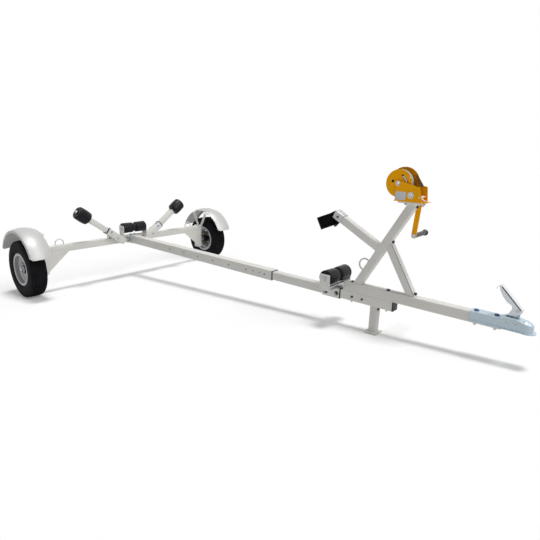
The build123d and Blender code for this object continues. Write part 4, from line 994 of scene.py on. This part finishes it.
# ---- Parking leg, winch post, brace and bow stop
# Square tubes are cut at an angle and bolted or welded to the tongue. The post's brace is a folded
# channel with its web to the front. The moulded rubber V stop sits in a plated bracket.
BRACKET_ZINC = (0.56, 0.56, 0.57)
LEG_X = 2289
LEG_HALF = 20
LEG_FOOT_TOP_Z = -57.5
LEG_BOLT = (2309, -7, 73)
POST = (2189, TONGUE_TOP_Z, 30)
POST_HALF = 20
POST_WALL = 3
POST_SHIFT = -8
POST_TOP_Z = 637
POST_FOOT_XS = (2156.7, 2202.9)
POST_TOP_XS = (2417.6, 2463.8)
POST_BOLT_AT = 513
BAR_BEND = 1.2
BRACE = (2308.6, 432, -31)
BRACE_DEPTH = 38
BRACE_HALF_WIDTH = 18
BRACE_SHEET = 3
BRACE_BOLTS_AT = (-18, -297)
BRACE_SHADE_LINE_AT = (-26, -303)
BOW_ARM = (2283, 397, -62)
BOW_WELD_AT = (212, 257)
BOW_WELD_Y = 19
BRACKET_BOLT_AT = 279
BRACKET_HALF_WIDTH = 25
BRACKET_WEB = 25
LOOP_Y = 605
LOOP_HALF_SPAN = 31
LOOP_WELD_RADIUS = 4.6
LOOP_WELD_Z = 135.4


def leant(degrees):
    """The ways along and square ahead of a bar that leans ahead of upright."""
    turn = math.radians(degrees)
    return Vector((math.sin(turn), 0, math.cos(turn))), Vector((math.cos(turn), 0, -math.sin(turn)))


def on_bar(bar, distance, ahead=0, y=0):
    """A point of a bar of (x, z, lean): up it, square ahead of it and across the trailer."""
    way_up, way_ahead = leant(bar[2])
    return Vector((bar[0], y, bar[1])) + way_up * distance + way_ahead * ahead


def mitred(name, bar, section, hole, low_plane, high_plane):
    """A bar with a section of (ahead, y), cut at each end by a plane of (point, normal)."""
    way_up = leant(bar[2])[0]
    edit = bmesh.new()
    loops = []
    for outline in (section, hole):
        low, high = [], []
        for ahead, y in outline:
            start = on_bar(bar, 0, ahead, y)
            for end, (point, normal) in ((low, low_plane), (high, high_plane)):
                reach = (Vector(point) - start).dot(Vector(normal)) / way_up.dot(Vector(normal))
                end.append(edit.verts.new(start + way_up * reach))
        loops.append((low, high))
        for j in range(len(outline)):
            edit.faces.new((low[j - 1], low[j], high[j], high[j - 1]))
    for outer, inner in zip(*loops):
        if inner:
            for j in range(len(outer)):
                edit.faces.new((outer[j - 1], outer[j], inner[j], inner[j - 1]))
        else:
            edit.faces.new(outer)
    return bent(name, meshed(name, edit, paint), BAR_BEND, "root", least_angle=35)


def post_section(half_size):
    """The corners of a square about the post's middle."""
    return rectangle(POST_SHIFT - half_size, POST_SHIFT + half_size, -half_size, half_size)


bracket_zinc = zinc_plate("bracket_zinc", BRACKET_ZINC, sheen=(0.3, 0.45))
stop_rubber = rubber("stop_rubber", shade(RUBBER, 0.4), sheen=(0.5, 0.6), gloss=0.02)
softened(paint, "frame_paint", "bow_stop_arm", "parking_leg", bend=TUBE_CORNER)
post_ahead, brace_ahead, bow_above = (leant(bar[2])[1] for bar in (POST, BRACE, BOW_ARM))
tongue_plane = ((0, 0, TONGUE_TOP_Z), UP)
post_tube = mitred(
    "winch_post_tube", POST, post_section(POST_HALF), post_section(POST_HALF - POST_WALL),
    tongue_plane, ((0, 0, POST_TOP_Z), UP))
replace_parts(post_tube, "winch_post")
web, inside = BRACE_DEPTH, BRACE_DEPTH - BRACE_SHEET
edge, inner_edge = BRACE_HALF_WIDTH, BRACE_HALF_WIDTH - BRACE_SHEET
channel = [
    (0, -edge), (web, -edge), (web, edge), (0, edge), (0, inner_edge), (inside, inner_edge),
    (inside, -inner_edge), (0, -inner_edge)]
brace = mitred(
    "brace_channel", BRACE, channel, [], tongue_plane,
    (on_bar(POST, 0, POST_SHIFT + POST_HALF + 0.1), post_ahead))
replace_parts(brace, "post_brace")
# A dark wire along the brace's near front corner is painted shade at the channel's edge.
wired(
    "brace_painted_shade_line", black_oxide,
    [on_bar(BRACE, distance, BRACE_DEPTH - 0.8, 0.6 - BRACE_HALF_WIDTH) for distance in BRACE_SHADE_LINE_AT],
    radius=1.2, slot="frame_paint")
softened(bracket_zinc, "zinc", "bow_stop_bracket", bend=1.2)
softened(stop_rubber, "roller_rubber", "bow_stop_pad", bend=3.0)
dress(paint, "axle_tie_loops", "post_tie_loop")
for name, xs, z in (
        ("leg_foot_weld", (LEG_X - LEG_HALF, LEG_X + LEG_HALF), LEG_FOOT_TOP_Z),
        ("post_foot_weld", POST_FOOT_XS, TONGUE_TOP_Z),
        ("post_top_weld", POST_TOP_XS, POST_TOP_Z)):
    welded(name, [(x, y, z) for x, y in rectangle(*xs, -POST_HALF, POST_HALF)], closed=True)
low_corners, high_corners = (
    [on_bar(POST, distance, POST_SHIFT - POST_HALF - 1, y) for y in (-BOW_WELD_Y, BOW_WELD_Y)]
    for distance in BOW_WELD_AT)
welded("bow_arm_weld", *zip(low_corners, high_corners), high_corners)
loop_feet = []
for _, side in SIDES:
    for end in (-LOOP_HALF_SPAN, LOOP_HALF_SPAN):
        foot = round_outline(0, side * LOOP_Y + end, LOOP_WELD_RADIUS, 9)
        loop_feet.append([(x, y, LOOP_WELD_Z) for x, y in foot + foot[:1]])
welded("axle_loop_welds", *loop_feet)
bolted("leg_bolt", black_oxide, [(LEG_BOLT, AHEAD)], flats=12, height=6, washer=9)
bolted(
    "post_top_bolt", black_oxide, [(on_bar(POST, POST_BOLT_AT, POST_SHIFT + POST_HALF, -2), post_ahead)],
    flats=12, height=6, thread=3)
bolted(
    "brace_bolts", black_oxide,
    [(on_bar(BRACE, distance, BRACE_DEPTH), brace_ahead) for distance in BRACE_BOLTS_AT],
    flats=12, height=7, thread=5)
bolted(
    "bow_bracket_bolt", black_oxide,
    [(on_bar(BOW_ARM, BRACKET_BOLT_AT, y=-BRACKET_HALF_WIDTH), RIGHT)], flats=9, height=4, washer=6)
bolted(
    "bow_bracket_nut", black_oxide,
    [(on_bar(BOW_ARM, BRACKET_BOLT_AT, y=BRACKET_HALF_WIDTH), LEFT)], flats=13, height=9, thread=10)
riveted(
    "bow_bracket_top_rivet", bright_zinc, [(on_bar(BOW_ARM, BRACKET_BOLT_AT, BRACKET_WEB), bow_above)],
    radius=6, dome=3)


# ---- Winch
# A hand winch in amber enamel: a folded frame with a round guard, a drum with its flange and a
# toothed gear whose enamel is darkened as painted shade, and a crank on the pinion's shaft.
# Shafts, nuts and the drum's rim ring are plated, and a black sheet in one corner of the frame is
# painted shadow on the guard.
AMBER = (0.96, 0.43, 0.002)
PAWL_CREAM = (0.88, 0.84, 0.74)
LABEL_FOIL = (0.47, 0.49, 0.51)
RING_ZINC = (0.34, 0.36, 0.39)
DRUM_AXIS = (2366, 727.5)
CRANK_AXIS = (2434.107, 676.642)
GRIP_AXIS = (2419.02, 466.18)
FRAME_FACE_Y = -37
FLANGE_RADIUS = 65.8
FLANGE_FACE_Y = -29
FLANGE_SHEET = 2.5
SHAFT_RADIUS = 8
SHAFT_END_Y = 43
RING_INNER, RING_OUTER = 61, 65
RING_START = 5
CORE_RADIUS = 22
CORE_START = -9.9
CORE_END = 26.6
ROPE_HOLE = (2335, 736)
ROPE_HOLE_RADIUS = 7
ROPE_SLOT = ((2381, 766), (2408, 735))
SLOT_HALF_WIDTH = 4.6
ANCHOR_RUN = (
    (2384, 1.6, 762), (2386, -1.6, 761), (2394, -2.2, 753), (2401, -2.2, 744), (2405, -1.6, 737),
    (2407, 1.6, 733))
FLANGE_RIVET = (2418, 758)
GUARD_SHADE_WEDGE = ((2424, 33.5, 773), (2462, 33.5, 718.4), (2462, -3, 718.4))
GUARD_SHADE_WEDGE_SHEET = (-1.2, 0, -0.84)
LABEL_SPAN = (2357, 2410, 652, 690)
LABEL_SHEET = 0.6
LABEL_RIVET_INSET = 3.5
MOUNT_BOLT_XS = (2397, 2484)
CRANK_ARM_OUTER_Y = 90
CRANK_ARM_INNER_Y = 84
GRIP_START_Y = 93
GRIP_LENGTH = 140
GRIP_BORE = 6.05
GRIP_RADIUS = 13
GRIP_WAVES = (
    (0.1, -1.6), (0.2, 0), (0.32, -1.4), (0.44, 0), (0.56, -1.4), (0.68, 0), (0.80, -1.6),
    (0.89, -1.8), (0.93, 3.4), (0.97, 4.0), (1.0, 3.0))


def enamel(name, colour):
    """Glossy stoved enamel."""
    material, shader = coated(
        name, colour, tones=(0.93, 1.04), cloud=(12.0,), sheen=(0.3, 0.42), patches=80.0,
        texture=(ORANGE_PEEL, 1.0), depth=0.00004)
    shader.inputs["Specular IOR Level"].default_value = 0.08
    return material


def slab(name, outline, start_y, end_y, material, body, slot, bevel):
    """A plate with an outline of (x, z), between two planes across the trailer, its rims eased."""
    edit = flat_piece([(x, start_y, z) for x, z in outline], (0, end_y - start_y, 0))
    rims = [edge for edge in edit.edges if abs(edge.verts[0].co.y - edge.verts[1].co.y) < 0.01]
    bmesh.ops.bevel(edit, geom=rims, offset=bevel, segments=2, affect="EDGES", profile=0.5)
    return shown(name, meshed(name, edit, material), body, smooth_to=30)


def slot_outline(start, end, half_width, steps=8):
    """A slot with round ends, as (x, z) points."""
    run = math.atan2(end[1] - start[1], end[0] - start[0])
    turns = [
        (centre, first + math.pi * k / steps)
        for centre, first in ((end, run - math.pi / 2), (start, run + math.pi / 2))
        for k in range(steps + 1)]
    return [(centre[0] + half_width * math.cos(turn), centre[1] + half_width * math.sin(turn))
            for centre, turn in turns]


def across(axis, y):
    """A place on an axis of (x, z) that crosses the trailer."""
    return (axis[0], y, axis[1])


amber = enamel("winch_amber_enamel", AMBER)
grip_plastic = black_plastic("grip_plastic", shade(PLASTIC, 0.8), sheen=(0.2, 0.32))
label_foil = zinc_plate("label_foil", LABEL_FOIL, sheen=(0.42, 0.55))
pawl_zinc = zinc_plate("pawl_zinc", PAWL_CREAM, sheen=(0.3, 0.42), metal=0.2)
ring_zinc = zinc_plate("rim_zinc", RING_ZINC, sheen=(0.4, 0.5), metal=0.4)
softened(paint, "frame_paint", "winch_mount_plate", bend=1.0)
dress(amber, "winch_frame", "crank_arm")
# The gear's enamel is the amber darkened by 0.55, painted shade on the gear.
dress(enamel("gear_enamel_painted_shade", shade(AMBER, 0.55)), "drum_gear")
dress(zinc, "crank_shaft")
dress(pawl_zinc, "ratchet_pawl")
# A black sheet in the frame's corner by the guard is painted shadow, in the unlit bore black.
guard = meshed("guard_shade_wedge", flat_piece(GUARD_SHADE_WEDGE, GUARD_SHADE_WEDGE_SHEET), bore_black)
shown("guard_shade_wedge", guard, "root", smooth_to=30)

drum_place = facing_out(-1, *across(DRUM_AXIS, 0))
flange_outline = eased(
    rectangle(SHAFT_RADIUS, FLANGE_RADIUS, -FLANGE_FACE_Y - FLANGE_SHEET, -FLANGE_FACE_Y), 0.7)
flange = lathed(
    "drum_flange", [flange_outline], drum_place, amber, "drum", steps=120, smooth_to=30)
cutters = []
for outline in (
        round_outline(*ROPE_HOLE, ROPE_HOLE_RADIUS), slot_outline(*ROPE_SLOT, SLOT_HALF_WIDTH)):
    through = flat_piece([(x, FLANGE_FACE_Y - 5, z) for x, z in outline], (0, 12, 0))
    cutters.append(linked("cutter", meshed("cutter", through, amber)))
    punch = flange.modifiers.new("punch", "BOOLEAN")
    punch.operation = "DIFFERENCE"
    punch.object = cutters[-1]
punched = plain_mesh(flange)
flange.modifiers.clear()
flange.data = punched
punched.shade_smooth()
punched.set_sharp_from_angle(angle=math.radians(30))
for cutter in cutters:
    bpy.data.objects.remove(cutter)
ring_outline = eased(rectangle(RING_INNER, RING_OUTER, RING_START, CORE_END), 0.6)
lathed(
    "drum_flange_rim", [ring_outline], drum_place, ring_zinc, "drum", steps=96, smooth_to=30)
bored(
    "rope_hole_shadow", [(across(ROPE_HOLE, FLANGE_FACE_Y + 1.4), RIGHT)],
    radius=ROPE_HOLE_RADIUS - 0.2, depth=0.8, body="drum")
slab(
    "rope_slot_shadow", slot_outline(*ROPE_SLOT, SLOT_HALF_WIDTH - 0.2), FLANGE_FACE_Y + 0.8,
    FLANGE_FACE_Y + 2.4, bore_black, "drum", "black_plastic", bevel=0.1)
core_outline = rectangle(SHAFT_RADIUS, CORE_RADIUS, CORE_START, CORE_END)
core = lathed("drum_core", [core_outline], drum_place, amber, "drum", steps=64)
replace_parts(core, "winch_drum")
shaft_outline = eased(rectangle(0, SHAFT_RADIUS, -SHAFT_END_Y, SHAFT_END_Y), 1)
lathed("drum_shaft", [shaft_outline], drum_place, zinc, "drum", steps=32)
wired(
    "rope_anchor", zinc, [(x, FLANGE_FACE_Y + y, z) for x, y, z in ANCHOR_RUN], radius=2.6,
    body="drum")
riveted(
    "flange_rivets", bright_zinc, [(across(FLANGE_RIVET, FLANGE_FACE_Y), RIGHT)], radius=3.6,
    dome=2.2, body="drum")
bolted(
    "drum_shaft_nuts", bright_zinc,
    [(across(DRUM_AXIS, FRAME_FACE_Y), RIGHT), (across(DRUM_AXIS, -FRAME_FACE_Y), LEFT)],
    flats=15, height=7, washer=12)
bolted(
    "crank_shaft_nut", bright_zinc, [(across(CRANK_AXIS, FRAME_FACE_Y), RIGHT)], flats=17, height=7,
    washer=16, body="crank")
bolted(
    "crank_arm_nut", bright_zinc, [(across(CRANK_AXIS, CRANK_ARM_OUTER_Y), LEFT)], flats=17,
    height=8, thread=3, body="crank")
bolted(
    "grip_pin_nut", bright_zinc, [(across(GRIP_AXIS, CRANK_ARM_INNER_Y), RIGHT)], flats=14, height=7,
    washer=12, body="crank")
label_face_y = FRAME_FACE_Y - LABEL_SHEET
slab(
    "blank_label", eased(rectangle(*LABEL_SPAN), 3), FRAME_FACE_Y + 0.1, label_face_y, label_foil,
    "root", "zinc", bevel=0.15)
inset = LABEL_RIVET_INSET
label_rivets = rectangle(*[edge + way * inset for edge, way in zip(LABEL_SPAN, (1, -1, 1, -1))])
riveted(
    "label_rivets", bright_zinc, [(across(place, label_face_y), RIGHT) for place in label_rivets],
    radius=1.4, dome=0.9)
bolted(
    "mount_plate_bolts", zinc, [((x, 0, POST_TOP_Z), DOWN) for x in MOUNT_BOLT_XS], flats=15,
    height=7, thread=5)
grip_outline = [
    (GRIP_BORE, 0), (GRIP_RADIUS, 0),
    *[(GRIP_RADIUS + swell, share * GRIP_LENGTH) for share, swell in GRIP_WAVES],
    (GRIP_BORE, GRIP_LENGTH)]
grip = lathed(
    "crank_grip_moulding", [eased(grip_outline, 3)], facing_out(1, *across(GRIP_AXIS, GRIP_START_Y)),
    grip_plastic, "grip", steps=40)
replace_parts(grip, "crank_grip")


# ---- Coupler
# A pressed steel channel with a ball dome, bright zinc plated, bolted over the tongue's end. Its
# folded latch lever turns on a riveted pin, and a black strip beside its fold is painted shadow.
COUPLER_ZINC = (0.54, 0.65, 0.72)
DEEP_BLUE_ZINC = (0.06, 0.14, 0.27)
LATCH_ZINC = (0.80, 0.83, 0.86)
RIVET_STEEL = (0.50, 0.49, 0.47)
COUPLER_TOP_Z = 189.1
COUPLER_SIDE_Y = 29.1
COUPLER_BOTTOM_Z = 135
COUPLER_BOLT_XS = (2786, 2872)
COUPLER_RIVETS = ((2921, 181), (2954, 180))
LATCH_PIVOT = (2951, 228.5)
LATCH_PIN_END_Y = 14
LATCH_FOLD = ((2879, 326), (2966, 239))
LATCH_SHADOW_INSETS = (1, 4.2)
LATCH_SHADOW_YS = (-11.9, -13.4)

coupler_zinc = zinc_plate("coupler_zinc", COUPLER_ZINC, sheen=(0.3, 0.44), cloud_scale=420.0, metal=0.3)
deep_blue_zinc = zinc_plate("deep_blue_zinc", DEEP_BLUE_ZINC, sheen=(0.25, 0.4))
latch_zinc = zinc_plate("latch_zinc", LATCH_ZINC, sheen=(0.3, 0.44), cloud_scale=420.0, metal=0.3)
rivet_steel = zinc_plate("rivet_steel", RIVET_STEEL, sheen=(0.35, 0.5))
softened(latch_zinc, "zinc", "coupler_latch", bend=0.9, body="latch")
dress(coupler_zinc, "coupler_body")
bolted(
    "coupler_top_bolts", deep_blue_zinc, [((x, 0, COUPLER_TOP_Z), UP) for x in COUPLER_BOLT_XS],
    flats=16, height=5)
bolted(
    "coupler_bottom_nuts", bright_zinc, [((x, 0, COUPLER_BOTTOM_Z), DOWN) for x in COUPLER_BOLT_XS],
    flats=17, height=9, thread=6)
riveted(
    "coupler_side_rivets", rivet_steel,
    [(across(place, side * COUPLER_SIDE_Y), (0, side, 0)) for place in COUPLER_RIVETS for _, side in SIDES],
    radius=6.5, dome=3)
# The black strip beside the latch's fold is painted shadow under its folded edge.
near, far = LATCH_SHADOW_INSETS
latch_shadow_outline = [(x - near, z - near) for x, z in LATCH_FOLD]
latch_shadow_outline += [(x - far, z - far) for x, z in reversed(LATCH_FOLD)]
slab("latch_fold_painted_shadow", latch_shadow_outline, *LATCH_SHADOW_YS, plastic, "latch", "black_plastic", bevel=0.2)
riveted(
    "latch_pin_heads", bright_zinc,
    [(across(LATCH_PIVOT, side * LATCH_PIN_END_Y), (0, side, 0)) for _, side in SIDES], radius=6,
    dome=2.6)


# ---- Studio
# A white floor that keeps the trailer's shadow, an overhead light and one from the nose. What
# looks straight at the backdrop, or sees it in metal, sees plain white.
FLOOR_HALF_SIZE = 40
FLOOR_Z = -0.0006
FLOOR_WHITE = (0.86, 0.86, 0.86, 1)
FLOOR_GLOW = 0.185
ROOM_LIGHT = 0.22
LAMPS = (
    ("overhead", (-0.15, -0.05, -1.0), 1.75, 14.0), ("from_nose", (-1.0, -0.15, -0.75), 0.95, 35.0))
CAMERA_PLACE = (axle_x + 3.362074, -2.0659, 0.8760)
CAMERA_FORWARD = (-0.64116, 0.73390, -0.22431)
CAMERA_RIGHT = (0.75606, 0.65417, -0.02077)

floor_mesh = bpy.data.meshes.new("floor")
floor_corners = rectangle(-FLOOR_HALF_SIZE, FLOOR_HALF_SIZE, -FLOOR_HALF_SIZE, FLOOR_HALF_SIZE)
floor_mesh.from_pydata([(x, y, FLOOR_Z) for x, y in floor_corners], [], [(0, 1, 2, 3)])
white_floor = bpy.data.materials.new("white_floor")
white_floor.use_nodes = True
tree = white_floor.node_tree
tree.nodes.clear()
board = add_node(tree, "ShaderNodeBsdfDiffuse", {"Color": FLOOR_WHITE})
light_path = add_node(tree, "ShaderNodeLightPath", {})
glow = add_node(tree, "ShaderNodeEmission", {
    "Strength": reckoned(tree, "MULTIPLY", light_path.outputs["Is Camera Ray"], FLOOR_GLOW)})
both = add_node(tree, "ShaderNodeAddShader", {0: board.outputs[0], 1: glow.outputs[0]})
add_node(tree, "ShaderNodeOutputMaterial", {"Surface": both.outputs[0]})
floor_mesh.materials.append(white_floor)
linked("floor", floor_mesh)

world = bpy.data.worlds.new("studio")
bpy.context.scene.world = world
world.use_nodes = True
tree = world.node_tree
light_path = add_node(tree, "ShaderNodeLightPath", {})
seen = light_path.outputs["Is Camera Ray"]
for ray in ("Is Glossy Ray", "Is Transmission Ray"):
    seen = reckoned(tree, "MAXIMUM", seen, light_path.outputs[ray])
strength = add_node(
    tree, "ShaderNodeMapRange", {"To Min": ROOM_LIGHT, "To Max": 1.0, "Value": seen})
backdrop = tree.nodes["Background"]
backdrop.inputs["Color"].default_value = (1, 1, 1, 1)
tree.links.new(strength.outputs["Result"], backdrop.inputs["Strength"])

for lamp_name, towards, energy, softness in LAMPS:
    lamp = bpy.data.lights.new(lamp_name, "SUN")
    lamp.energy = energy
    lamp.angle = math.radians(softness)
    linked(lamp_name, lamp).rotation_euler = Vector(towards).to_track_quat("-Z", "Y").to_euler()

camera = linked("camera", bpy.data.cameras.new("camera"))
camera.data.sensor_width = 36
camera.data.lens = 29.89
camera.data.clip_end = 200
forward = Vector(CAMERA_FORWARD).normalized()
right = Vector(CAMERA_RIGHT)
right = (right - forward * right.dot(forward)).normalized()
turn = Matrix((right, right.cross(forward), -forward)).transposed().to_4x4()
camera.matrix_world = Matrix.Translation(CAMERA_PLACE) @ turn
bpy.context.scene.camera = camera
bpy.context.scene.view_settings.view_transform = "Standard"
